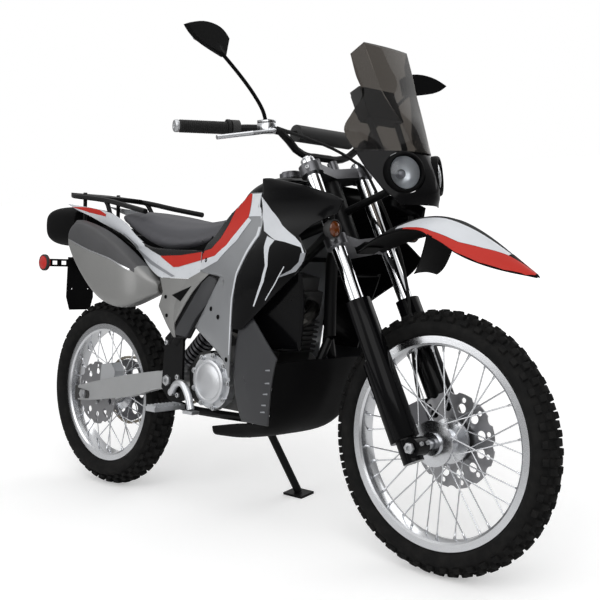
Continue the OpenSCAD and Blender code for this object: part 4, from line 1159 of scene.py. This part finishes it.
@dataclass
class Machinery:
    """Bolts, caps and small hardware of the engine, the frame and the fork."""

    clutch: Spot = (692, -112.3, 442)
    clutch_cap: Sequence[Flat] = (
        (0, 35), (50, 35), (66.4, 36.5), (66.4, 39.4), (62, 41.4), (57, 41.4), (54, 39.2), (50, 39.2),
        (47, 40.6), (20, 41.6), (0, 41.8))
    flywheel: Spot = (745, 112.3, 440)
    flywheel_cap: Sequence[Flat] = (
        (0, 33), (44, 33), (58.4, 34), (58.4, 37), (55, 39), (30, 40), (26, 38.6), (0, 38.6))
    case: Sequence[Flat] = ((655, 505), (800, 552), (900, 505), (938, 440), (915, 378), (800, 372))
    plates: Sequence[Flat] = ((482, 545), (540, 572), (538, 440), (540, 384))
    pedal: Sequence[Spot] = (
        (520, -150, 392), (548, -156, 420), (584, -160, 424), (612, -162, 394), (630, -164, 350))
    case_half: float = 112.0
    plate_half: float = 141.0
    pivot: Spot = (485, 140.6, 425)
    adjuster: Spot = (-47, 108, 328)
    guide: Spot = (-6, 124, 329)
    rack_post: Spot = (-90, 72, 1035)
    steer: Spot = (1392.61, 0, 318.71)
    rake: float = 27.0
    leg: Flat = (38, 105)
    clamps: Flat = (593, 817)
    clamp_out: float = 30.0
    pinch: Sequence[Spot] = ((88, 93, 0), (88, 119, 0))
    stem_top: float = 832.0
    axle_nut: Spot = (64.43, 134, 0)

    def build(self) -> None:
        """Fits everything in turn."""
        self._cover("clutch", self.clutch, (79, 32), self.clutch_cap)
        self._cover("flywheel", self.flywheel, (70, 26), self.flywheel_cap)
        self._chassis()
        self._fork()

    def _cover(self, name: str, foot: Spot, ring: Flat, section: Sequence[Flat]) -> None:
        """Fits the bolts and the stepped cap of a round engine cover.

        Args:
            name: the cover's name.
            foot: middle of the cover's foot.
            ring: radius of the bolt circle, and how far it stands out from the foot.
            section: radius and height of the cap's corners.
        """
        x, y, z = foot
        side = math.copysign(1, y)
        out = (0, side, 0)
        Bolt(5.6, 5).fasten(f"{name}_bolts", "chassis", [
            seat_at((x + ahead, y + side * ring[1], z + up), out) for ahead, up in circle(ring[0], 9)])
        cap = Bench.place(Bench.lathe(section, 72), STANCE.matrix @ seat_at(foot, out))
        Bench.done(cap, f"{name}_cap", "chassis", Paint.CAST_ALLOY, 30)

    def _chassis(self) -> None:
        """Case bolts, pivot nuts, chain adjusters, brake pedal arm and rack bolts."""
        Bolt(6.5, 7, 6, 0.45).fasten("case_bolts", "chassis", [
            place for x, z in self.case for place in both_sides((x, self.case_half, z), LEFT)])
        Bolt(9, 7, 6).fasten("pivot_plate_bolts", "chassis", [
            place for x, z in self.plates for place in both_sides((x, self.plate_half, z), LEFT)])
        Bolt(18, 9, 6, 0.45).fasten("pivot_nuts", "chassis", both_sides(self.pivot, LEFT))
        block = Bench.box((18, 34, 52))
        with Bench.editing(block, "FACE", lambda centre, normal: normal.x < -0.9):
            bpy.ops.mesh.inset(thickness=6, depth=3)
        Bench.modify(block, "BEVEL", width=2.4, segments=2, limit_method="ANGLE")
        Bench.fit(block, apart(self.adjuster), "chain_adjusters", "chassis", Paint.PLASTIC)
        guide = Bench.plate(((-34, -19), (34, -13), (38, 0), (34, 13), (-34, 19)), 3, 1)
        places = [place @ Matrix.Rotation(-side * math.pi / 2, 4, "X")
                  for side, place in zip(BOTH, apart(self.guide))]
        Bench.fit(guide, places, "axle_guides", "chassis", Paint.PLASTIC)
        arm = Bench.tube([STANCE.spot(tuple(point)) for point in curved(self.pedal, 8)], 0.0115, 4)
        Bench.done(arm, "brake_pedal_arm", "chassis", Paint.CAST_ALLOY, 50)
        Bolt(7, 5, finish=Paint.FRAME_BLACK).fasten("rack_post_bolts", "chassis",
                                                    both_sides(self.rack_post, UP))

    def _fork(self) -> None:
        """Tubes, seals, guards and caps of both legs, pinch bolts, stem nut and axle nuts."""
        steering = Matrix.Translation(self.steer) @ Matrix.Rotation(math.radians(-self.rake), 4, "Y")
        x, y = self.leg
        tube = Bench.lathe(((0, 292.3), (20.5, 292.3), (20.5, 844), (19.5, 845), (0, 845)), 64)
        seal = Bench.lathe(((20.8, 286), (31, 286), (31, 300), (27, 306), (21.2, 308)))
        arc = [math.radians(a) for a in range(-108, 109, 12)]
        guard = Bench.plate([polar(r, a) for r, way in ((37, 1), (33.4, -1)) for a in arc[::way]], 386, 1.2)
        cap = Bench.lathe(((0, 0), (20.5, 0), (20.5, 5), (18.5, 8), (14.5, 8), (14.5, 12), (12, 13.5),
                           (0, 13.5)), 36)
        for model, name, foot, finish, angle in (
                (tube, "fork_stanchions", 0, Paint.CHROME, 35), (seal, "fork_seals", 0, Paint.RUBBER, 35),
                (guard, "fork_guards", 30, Paint.GLOSS, 40), (cap, "fork_caps", 844, Paint.BRIGHT, 35)):
            legs = [steering @ place for place in apart((x, y, foot))]
            made = Bench.fit(model, legs, name, "steering", finish, angle)
            if name == "fork_stanchions":
                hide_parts("fork_tubes")
        Bolt(5.5, 7).fasten("axle_pinch_bolts", "steering", [
            steering @ place for spot in self.pinch for place in both_sides(spot, AHEAD)])
        Bolt(6, 6).fasten("clamp_bolts", "steering", [
            steering @ place @ Matrix.Translation((0, 0, self.clamp_out))
            for z in self.clamps for place in both_sides((x, y, z), (0.5, 1, 0))])
        Bolt(19, 12, 6, finish=Paint.BRIGHT).fasten("stem_nut", "steering", [
            steering @ Matrix.Translation((0, 0, self.stem_top))])
        Bolt(15, 9, 6).fasten("front_axle_nuts", "steering", [
            steering @ place for place in both_sides(self.axle_nut, LEFT)])


@dataclass
class FrameTrim:
    """Covers over the frame spars, webs and liners that close the gaps, drawn as x and z, and rack legs. Black
    backings behind the covers stand for the black frame and paint the shade in the gaps round them; black
    patches on the webs are painted shade in their openings.
    """

    # Black plate behind each spar cover: part black frame, part painted shade in the gaps round the cover.
    spar_and_shade_backing: Sequence[Flat] = (
        (606, 566), (646, 622), (716, 690), (745, 760), (690, 768), (638, 736), (574, 663), (524, 593),
        (516, 563))
    cover: Sequence[Flat] = (
        (596, 570), (641, 630), (712, 694), (735, 750), (700, 764), (665, 740), (603, 665), (547, 598),
        (541, 574))
    web: Sequence[Flat] = (
        (537, 608), (556, 632), (588, 672), (620, 708), (660, 742), (704, 771), (657, 773), (602, 751),
        (559, 706), (533, 660))
    # Black patch on each web: painted shade in its opening.
    opening_shade: Sequence[Flat] = ((524, 697), (566, 679), (618, 728))
    skirt: Sequence[Flat] = (
        (650, 815), (650, 882), (540, 874), (430, 878), (350, 886), (310, 882), (262, 884), (206, 912),
        (206, 888), (270, 850), (350, 826), (430, 812), (540, 810))
    liner: Sequence[Flat] = (
        (60, 920), (60, 894), (151, 852), (254, 794), (313, 756), (430, 745), (420, 780), (320, 806),
        (233, 848), (161, 884), (109, 906))
    leg: Sequence[Spot] = ((46, 88, 1009), (60, 88.5, 1004), (74, 89.5, 990), (92, 93, 962), (108, 97, 934))

    def build(self) -> None:
        """Cuts each plate and fits a pair of them."""
        # The black backings are part black frame and part painted shade round the covers; the black web patches
        # are painted shade in the openings.
        self._pair("spar_and_shade_backings", self.spar_and_shade_backing, 148, 8, 2, Paint.FRAME_BLACK)
        self._pair("spar_covers", self.cover, 150, 12.5, 5, Paint.GREY)
        self._pair("frame_webs", self.web, 156, 5, 1.4, Paint.SHELL)
        self._pair("web_opening_shade", self.opening_shade, 158, 4.4, 0.6, Paint.GUARD)
        self._pair("seat_skirts", self.skirt, 104, 3, 0.6, Paint.GUARD)
        self._pair("tail_liners", self.liner, 95, 3, 0.6, Paint.GUARD)
        legs = [Bench.tube([STANCE.spot((x, side * y, z)) for x, y, z in curved(self.leg, 6)], 0.008, 4)
                for side in BOTH]
        Bench.done(Bench.join(legs), "rack_legs", "chassis", Paint.FRAME_BLACK, 50)

    @staticmethod
    def _pair(name: str, outline: Sequence[Flat], inner: float, thick: float, edge: float,
              finish: Finish) -> None:
        """Makes one plate and its mirror image.

        Args:
            name: name of the pair.
            outline: corners as x and z.
            inner: how far its inner face is from the middle of the machine.
            thick: its thickness outwards.
            edge: width of its broken edge.
            finish: its surface.
        """
        right = Bench.plate(outline, thick, edge)
        right.data.transform(Matrix.Translation((0, -inner, 0)) @ Matrix.Rotation(math.pi / 2, 4, "X"))
        left = Bench.copy(right)
        left.data.transform(Matrix.Scale(-1, 4, (0, 1, 0)))
        pair = Bench.place(Bench.join([right, left]), STANCE.matrix)
        Bench.outward(pair)
        Bench.done(pair, name, "chassis", finish, 40)


@dataclass
class Screen:
    """Tall smoked screen: a folded sheet with a front face between two fold lines and a wing on each side."""

    fold: Sequence[Spot] = (
        (1225, 92, 1398), (1252, 86, 1332), (1276, 77, 1272), (1302, 64, 1224), (1328, 48, 1180),
        (1364.5, 32, 1102))
    edge: Sequence[Spot] = (
        (1200, 117, 1366), (1216, 112, 1310), (1236, 106, 1256), (1224, 130, 1208), (1214, 150, 1160),
        (1259, 154, 1102))
    bulge: float = 7.0
    thick: float = 3.0
    columns: int = 16
    steps: int = 6

    def build(self) -> None:
        """Folds a grid over the lines, thickens it and breaks its edges."""
        fold, edge = curved(self.fold, self.steps), curved(self.edge, self.steps)
        rows = len(fold) - 1
        sheet = Bench.start(bpy.ops.mesh.primitive_grid_add, x_subdivisions=self.columns,
                            y_subdivisions=rows, size=2)
        for vertex in sheet.data.vertices:
            run = min(max((1 - vertex.co.y) / 2 * rows, 0), rows - 1e-6)
            low, part = int(run), run - int(run)
            crest, rim = fold[low].lerp(fold[low + 1], part), edge[low].lerp(edge[low + 1], part)
            vertex.co = self._across(crest, rim, 2 * vertex.co.x)
        sheet.data.update()
        if sheet.data.polygons[len(sheet.data.polygons) // 2].normal.x < 0:
            with Bench.editing(sheet):
                bpy.ops.mesh.flip_normals()
        Bench.modify(sheet, "SOLIDIFY", thickness=self.thick, offset=-1)
        Bench.modify(sheet, "BEVEL", width=0.6, segments=2, limit_method="ANGLE", angle_limit=math.radians(66))
        Bench.place(sheet, STANCE.matrix)
        Bench.done(sheet, "screen_sheet", "chassis", Paint.SMOKED, 24)
        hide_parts("windscreen")

    def _across(self, crest: Vector, rim: Vector, share: float) -> Vector:
        """Finds a point across the sheet.

        Args:
            crest: the fold line's point on the left.
            rim: the edge's point on the left.
            share: from -2 at the right edge over -1 and 1 at the folds to 2 at the left edge.

        Returns:
            The point on the upright machine.
        """
        if abs(share) <= 1:
            return Vector((crest.x + self.bulge * (1 - share * share), crest.y * share, crest.z))
        place = crest.lerp(rim, abs(share) - 1)
        return Vector((place.x, math.copysign(place.y, share), place.z))


@dataclass
class Cockpit:
    """Grips, bar ends, reservoirs, mirror glass and instrument face."""

    grip_in: Spot = (914, 286, 1171)
    grip_end: Spot = (866, 410, 1166)
    bar: Flat = (1000, 1166)
    ribs: int = 25
    rib_start: float = 9.0
    rib_pitch: float = 5.4
    mirror: Flat = (450, 214)
    mirror_turn: float = -14.0
    glass: Flat = (0.88, 0.9)
    perch: Sequence[Flat] = ((-6, 205), (15, 205), (15, 235), (-31, 235))
    perch_middle: Flat = (20 / 3, 220)
    lid: float = 0.94
    dial: Spot = (1200, 0, 1238)
    dial_tip: float = -25.0
    dial_out: float = 18.0

    def build(self) -> None:
        """Fits everything in turn."""
        self._grips()
        self._reservoirs()
        self._mirrors()
        self._instrument()

    def _grips(self) -> None:
        """Ribbed rubber sleeves and bright bar ends."""
        ribs: list[Flat] = [(13, 8.5)]
        for k in range(self.ribs):
            s = self.rib_start + self.rib_pitch * k
            ribs += [(16.4, s), (17.6, s + 1.2), (17.6, s + 3), (16.4, s + 4.2)]
        ribs += [(16.2, 145), (13, 146)]
        way = tuple(Vector(self.grip_end) - Vector(self.grip_in))
        places = both_sides(self.grip_in, way)
        Bench.fit(Bench.lathe(ribs, 28), places, "grip_ribs", "steering", Paint.RUBBER, 40)
        end = Bench.lathe(((0, 144), (14, 144), (16.4, 146.5), (17, 149), (17, 155), (15, 158),
                           (7, 158.5), (5, 156), (0, 156)), 36)
        Bench.fit(end, places, "bar_ends", "steering", Paint.STEEL)

    def _reservoirs(self) -> None:
        """Brake reservoir in bright alloy on the right, clutch perch in black on the left."""
        x, z = self.bar
        inset = [tuple(m + (p - m) * self.lid for p, m in zip(corner, self.perch_middle))
                 for corner in self.perch]
        for side, name, finish in ((-1, "brake_reservoir", Paint.BRIGHT),
                                   (1, "clutch_perch", Paint.DARK_ALLOY)):
            layers = []
            for line, thick, edge, foot in ((self.perch, 30, 3, -9), (inset, 8, 2, 20.6)):
                layer = Bench.plate([(px, side * py) for px, py in line], thick, edge)
                layer.data.transform(Matrix.Translation((x, 0, z + foot)))
                layers.append(layer)
            Bench.done(Bench.place(Bench.join(layers), STANCE.matrix), name, "steering", finish, 30)

    def _mirrors(self) -> None:
        """Glass let into the rider's side of the mirrors."""
        outline = ((40, -70), (20, 60), (-10, 96), (-34, 40), (-36, -50), (-10, -84))
        x, z = self.bar
        y, above_bar = self.mirror
        left = (Matrix.Translation((x, y, z + above_bar))
                @ Matrix.Rotation(math.radians(self.mirror_turn), 4, "Z")
                @ Matrix.Rotation(math.pi / 2, 4, "Y"))
        for side, name in ((1, "left"), (-1, "right")):
            glass = Bench.plate([(px * self.glass[0], py * self.glass[1]) for px, py in outline], 2, 0.6)
            glass.data.transform(Matrix.Translation((0, 0, -0.8)))
            Bench.place(glass, STANCE.matrix @ Matrix.Scale(side, 4, (0, 1, 0)) @ left)
            Bench.outward(glass)
            Bench.done(glass, f"mirror_glass_{name}", "steering", Paint.MIRROR, 30)

    def _instrument(self) -> None:
        """Raised frame and dark face on the rider's side of the instrument."""
        face = (Matrix.Translation(self.dial) @ Matrix.Rotation(math.radians(self.dial_tip), 4, "Y")
                @ Matrix.Translation((-self.dial_out, 0, 0)) @ Matrix.Rotation(-math.pi / 2, 4, "Y"))
        corner = ((44, 62), (36, 72))
        rim = [(sx * px, sy * py) for sx, sy, order in ((-1, -1, 1), (1, -1, -1), (1, 1, 1), (-1, 1, -1))
               for px, py in corner[::order]]
        dial = ((-32, -58), (32, -58), (32, 58), (-32, 58))
        for name, outline, thick, edge, finish in (("instrument_rim", rim, 4, 1.4, Paint.PLASTIC),
                                                   ("instrument_face", dial, 5, 1, Paint.FILM_GREY)):
            layer = Bench.place(Bench.plate(outline, thick, edge), STANCE.matrix @ face)
            Bench.done(layer, name, "chassis", finish, 30)


def mirrored(line: Sequence[Flat]) -> list[Flat]:
    """Flips a line of x and y to the machine's right."""
    return [(x, -y) for x, y in line]


SIDE_TOP: Sequence[Flat] = (
    (657.5, 833), (714, 843), (748, 872), (770, 914), (787, 962), (806, 992), (838, 1004))
SIDE_LOW: Sequence[Flat] = (
    (657.5, 807), (741, 821), (795, 853), (830, 896), (857, 933), (852, 960), (850, 1004))


@dataclass
class Graphics:
    """Coloured films on the bodywork, and a painted highlight along the silencer, drawn as lines of x and z, or
    x and y on the beak.
    """

    films: Sequence[Film] = (
        Film("tail_edge", "tail_panels", Paint.FILM_BLACK,
             ((345, 857), (390, 843), (420, 837), (558, 836.6), (655, 836.6)),
             ((345, 851), (400, 832), (450, 818), (558, 821), (655, 832))),
        Film("tail_red", "tail_panels", Paint.FILM_RED, ((450, 818), (558, 821), (655.5, 832)),
             ((450, 816), (526, 784), (553, 785), (655.5, 807))),
        Film("tail_line", "tail_panels", Paint.FILM_GREY, ((200, 886), (241, 866), (395, 803), (537, 756)),
             ((204, 880), (242, 854), (397, 790), (521, 753))),
        Film("tail_strip_red", "tail_panels", Paint.FILM_RED,
             ((-138, 989), (-60, 986), (-23, 983), (40, 974), (84, 958)),
             ((-122, 985), (-60, 974), (-20, 966), (40, 957), (84, 950))),
        Film("side_edge", "side_panels", Paint.FILM_BLACK,
             ((658.5, 842), (668, 851), (708, 878), (729, 905), (753, 938), (784, 958)), SIDE_TOP[:5],
             columns=72),
        Film("side_red", "side_panels", Paint.FILM_RED, SIDE_TOP, SIDE_LOW, columns=72, rows=10),
        Film("side_white", "side_panels", Paint.FILM_WHITE, SIDE_LOW[:5],
             ((657.5, 778), (673, 780), (761, 806), (842, 866), (875, 925)), columns=64),
        Film("side_white_top", "side_panels", Paint.FILM_WHITE, ((851, 1003), (888.5, 1003)),
             ((858, 936), (915, 936)), columns=12, rows=14),
        Film("side_front_line", "side_panels", Paint.FILM_WHITE,
             ((931, 905), (940, 879), (923, 852), (902, 820), (872, 772), (848, 700), (842, 655), (837, 603),
              (829, 535)),
             ((920, 905), (928, 880), (912, 853), (893, 820), (864, 772), (841, 700), (836, 655), (831, 603),
              (825, 535)), columns=72, rows=3),
        Film("arrow_band", "shrouds", Paint.FILM_WHITE,
             ((889, 996), (953, 952), (1039, 907), (1122, 874), (1152, 857), (1172, 832)),
             ((919, 932), (936, 915), (958, 893), (1034, 867), (1084, 861), (1155, 847), (1164, 832)),
             columns=72),
        Film("arrow_leg", "shrouds", Paint.FILM_WHITE,
             ((1034, 866), (1018, 849), (1017, 829), (1021, 797), (1007, 753), (957, 682)),
             ((989, 878), (991, 848), (1001, 822), (1009, 796), (994, 753), (952, 683)), columns=56),
        Film("arrow_tip", "shrouds", Paint.FILM_GREY, ((1178, 832), (1170, 808), (1142, 783), (1074, 766)),
             ((1158, 832), (1152, 808), (1122, 787), (1073, 769))),
        Film("arrow_thin", "shrouds", Paint.FILM_WHITE, ((1095, 794), (1056, 747), (1009, 701)),
             ((1092, 796), (1053, 749), (1007, 703)), rows=2),
        # Painted highlight: a thin bright metal strip along the crease between the silencer's grey top and its
        # silver shell stands in for the line of light there.
        Film("silencer_painted_highlight", "silencer", Paint.BRIGHT, ((24, 868), (144, 834), (254, 810), (358, 774)),
             ((24, 863), (144, 829), (254, 805), (358, 769)), (Side.RIGHT,), rows=2, columns=64),
    )
    beak: Sequence[tuple[str, Finish, Sequence[Flat], Sequence[Flat]]] = (
        ("beak_white", Paint.FILM_WHITE,
         ((1340, 70), (1400, 46), (1460, 26), (1548, 14), (1600, 8), (1644, 3)),
         ((1340, 80), (1400, 85.4), (1460, 81.4), (1530, 65.4), (1590, 41.4), (1644, 14.4))),
        ("beak_red", Paint.FILM_RED,
         ((1370, 84), (1400, 86), (1460, 82), (1530, 66), (1590, 42), (1644, 15), (1680, 3), (1715, 0.5)),
         ((1370, 88.5), (1400, 92.4), (1460, 92.6), (1530, 82.4), (1590, 66.4), (1650, 44.4), (1700, 20.6),
          (1715, 8))),
    )
    louvres: Sequence[Flat] = ((996, 505), (990, 468), (978, 436), (966, 403), (957, 382))

    def build(self) -> None:
        """Lays every film."""
        for film in self.films:
            film.build()
        for name, finish, inner, outer in self.beak:
            for side, upper, lower in (("left", outer, inner), ("right", mirrored(inner), mirrored(outer))):
                Film(f"{name}_{side}", "front_mudguard", finish, upper, lower, (Side.TOP,), "steering").build()
        for k, (x, z) in enumerate(self.louvres):
            Film(f"louvre_{k}", "lower_cowls", Paint.FILM_GREY, ((x - 9, z + 1.5), (x + 9, z + 4.5)),
                 ((x - 9, z - 1.5), (x + 9, z - 0.5)), columns=8, rows=3).build()


@dataclass
class Studio:
    """Camera at the photograph's viewing angle, soft lamps and a pale floor."""

    eye: Spot = (3000, -2151.4, 803.7)
    ahead: Spot = (-0.694, 0.7191, -0.0357)
    right: Spot = (0.7187, 0.6949, 0.0247)
    lens: float = 60.7
    sensor: float = 36.0
    lamps: Sequence[tuple[str, Spot, float, float]] = (
        ("key", (2.6, -2.4, 3.2), 3, 62), ("side", (-1.4, -3.4, 2), 2.6, 34),
        ("far", (0.4, 3.4, 2.6), 3, 36), ("top", (0, -0.2, 4), 3.6, 42))
    aim: Spot = (0, 0, 0.6)
    floor_size: float = 60.0
    floor_near: Flat = (1.2, 5)
    floor_glow: Flat = (0.31, 0.74)
    sky_height: Flat = (-0.1, 0.9)
    sky_light: Flat = (0.16, 0.9)
    low_light: float = 0.4

    def build(self) -> None:
        """Makes the camera, the lamps, the floor and the world."""
        self._camera()
        for name, place, size, power in self.lamps:
            self._lamp(name, place, size, power)
        self._floor()
        self._world()
        bpy.context.scene.view_settings.view_transform = "Standard"

    def _camera(self) -> None:
        """Sets the camera where the photograph was taken, leaning with the machine."""
        ahead = STANCE.way(self.ahead)
        right = STANCE.way(self.right)
        right = (right - ahead * right.dot(ahead)).normalized()
        up = right.cross(ahead)
        turn = Matrix((right, up, -ahead)).transposed().to_4x4()
        data = bpy.data.cameras.new("camera")
        data.lens = self.lens
        data.sensor_width = self.sensor
        data.sensor_fit = "HORIZONTAL"
        camera = bpy.data.objects.new("camera", data)
        camera.matrix_world = Matrix.Translation(STANCE.spot(self.eye)) @ turn
        bpy.context.scene.collection.objects.link(camera)
        bpy.context.scene.camera = camera

    def _lamp(self, name: str, place: Spot, size: float, power: float) -> None:
        """Hangs one soft square lamp that faces the machine.

        Args:
            name: its name.
            place: where it hangs, in metres.
            size: length of its side.
            power: its power in watts.
        """
        data = bpy.data.lights.new(name, "AREA")
        data.shape = "SQUARE"
        data.size = size
        data.energy = power
        lamp = bpy.data.objects.new(name, data)
        lamp.location = place
        lamp.rotation_euler = (Vector(self.aim) - Vector(place)).to_track_quat("-Z", "Y").to_euler()
        bpy.context.scene.collection.objects.link(lamp)

    def _floor(self) -> None:
        """Lays a wide pale floor that keeps the shadow and brightens away from the machine."""
        floor = Bench.start(bpy.ops.mesh.primitive_plane_add, size=self.floor_size)
        floor.name = "floor"
        made = bpy.data.materials.new("studio_floor")
        made.use_nodes = True
        tree = made.node_tree
        shader = tree.nodes["Principled BSDF"]
        feed(tree, shader, {"Base Color": (0.86, 0.86, 0.86, 1), "Roughness": 0.9})
        place = add_node(tree, "TexCoord", {}).outputs["Object"]
        away = add_node(tree, "VectorMath", {0: place}, operation="LENGTH").outputs["Value"]
        level = spread(tree, away, self.floor_near, self.floor_glow)
        seen = add_node(tree, "LightPath", {}).outputs["Is Camera Ray"]
        shown = add_node(tree, "Math", {0: seen, 1: level}, operation="MULTIPLY")
        glow = add_node(tree, "Emission", {"Strength": shown.outputs[0]})
        both = add_node(tree, "AddShader", {0: shader.outputs[0], 1: glow.outputs[0]})
        feed(tree, tree.nodes["Material Output"], {"Surface": both.outputs[0]})
        floor.data.materials.append(made)

    def _world(self) -> None:
        """Sets a white surround for the view, a graded one for reflections and a softer one for the light."""
        world = bpy.data.worlds.new("studio")
        bpy.context.scene.world = world
        world.use_nodes = True
        tree = world.node_tree
        path = add_node(tree, "LightPath", {}).outputs
        place = add_node(tree, "TexCoord", {}).outputs["Generated"]
        height = add_node(tree, "SeparateXYZ", {0: place}).outputs["Z"]
        overhead = spread(tree, height, self.sky_height, self.sky_light)
        light: object = self.low_light
        for ray, value in (("Is Glossy Ray", overhead), ("Is Transmission Ray", 1), ("Is Camera Ray", 1)):
            light = add_node(tree, "Mix", {0: path[ray], 2: light, 3: value}).outputs[0]
        feed(tree, tree.nodes["Background"], {"Color": (1, 1, 1, 1), "Strength": light})


def above(place: Vector, line: Sequence[Flat]) -> bool:
    """Says whether a point lies over the stretch of a line of x and z, and above it.

    Args:
        place: the point on the upright machine.
        line: the corner points from the rear forward.

    Returns:
        Whether it lies above.
    """
    for (x0, z0), (x1, z1) in zip(line, line[1:]):
        if x0 <= place.x <= x1:
            return place.z > z0 + (z1 - z0) * (place.x - x0) / (x1 - x0)
    return False


def silencer_top(place: Vector) -> bool:
    """Says whether a point of the silencer belongs to its grey top panel."""
    return above(place, ((-20, 874), (24, 866), (144, 832), (254, 808), (358, 772), (372, 764)))


def tail_rim(place: Vector) -> bool:
    """Says whether a point of the tail panels belongs to their dark rim under the seat or their front end."""
    return place.x > 655.9 or above(place, ((330, 858), (400, 835), (450, 822), (558, 825), (660, 835)))


MOULDINGS: tuple[Moulding, ...] = (
    Moulding("fuel_tank", Paint.GLOSS), Moulding("shrouds", Paint.GLOSS), Moulding("side_panels", Paint.SILVER),
    Moulding("lower_cowls", Paint.GREY),
    Moulding("tail_panels", Paint.WHITE, second=Paint.FILM_BLACK, area=tail_rim),
    Moulding("frame_covers", Paint.SHELL), Moulding("belly_pan", Paint.GUARD),
    Moulding("rear_mudguard", Paint.GUARD),
    Moulding("silencer", Paint.SHELL, levels=3, second=Paint.SHELL_TOP, area=silencer_top),
    Moulding("front_mudguard", Paint.GUARD, "steering"),
    Moulding("mirrors", Paint.GUARD, "steering"),
)
WHEELS: tuple[KnobTyre | WheelTrim, ...] = (
    KnobTyre("front_tyre", "front_wheel", FRONT_AXLE, 348, 43, 279, 28, 48, (
        (0, 19, 17, 0), (27, 17, 18, 0.5), (-27, 17, 18, 0.5), (53, 15, 20, 0), (-53, 15, 20, 0))),
    KnobTyre("rear_tyre", "rear_wheel", REAR_AXLE, 329, 55, 244, 35, 44, (
        (14, 20, 18, 0), (-14, 20, 18, 0), (40, 20, 20, 0.5), (-40, 20, 20, 0.5), (62, 14, 22, 0),
        (-62, 14, 22, 0))),
    WheelTrim("front", "front_wheel", FRONT_AXLE, (54, 36), 249.8, 56, 34),
    WheelTrim("rear", "rear_wheel", REAR_AXLE, (60, 40), 214.8, -68, 34, 73, 50),
)


NODE_EDGE: float = 32.0


def dress_nodes() -> None:
    """Gives every CAD node its finish, and smooth shading between its sharp edges."""
    for name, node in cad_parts.items():
        node.data.materials.clear()
        node.data.materials.append(NODE_FINISH[name].material())
        node.data.polygons.foreach_set("use_smooth", [True] * len(node.data.polygons))
        weld = node.modifiers.new("weld", "WELD")
        weld.merge_threshold = WELD
        split = node.modifiers.new("edges", "EDGE_SPLIT")
        split.split_angle = math.radians(NODE_EDGE)
        LOG.info("%s: %s", name, NODE_FINISH[name].name)


def main() -> None:
    """Builds all pieces in order."""
    logging.basicConfig(level=logging.INFO, format="%(message)s")
    dress_nodes()
    for moulding in MOULDINGS:
        moulding.build()
    bpy.context.view_layer.update()
    for part in (PaddedSeat(), Graphics(), Lamps(), *WHEELS, DriveChain(), Machinery(), FrameTrim(), Screen(),
                 Cockpit()):
        part.build()
    Bolt(7, 3, 24, finish=Paint.GUARD).pin("panel_screws", "chassis", "side_panels",
                                           ((690, 808), (728, 664), (773, 642), (812, 520)))
    Bolt(6, 3, 24, finish=Paint.GUARD).pin("cover_screws", "chassis", "frame_covers", ((500, 632), (492, 690)))
    Studio().build()


if __name__ == "__main__":
    main()
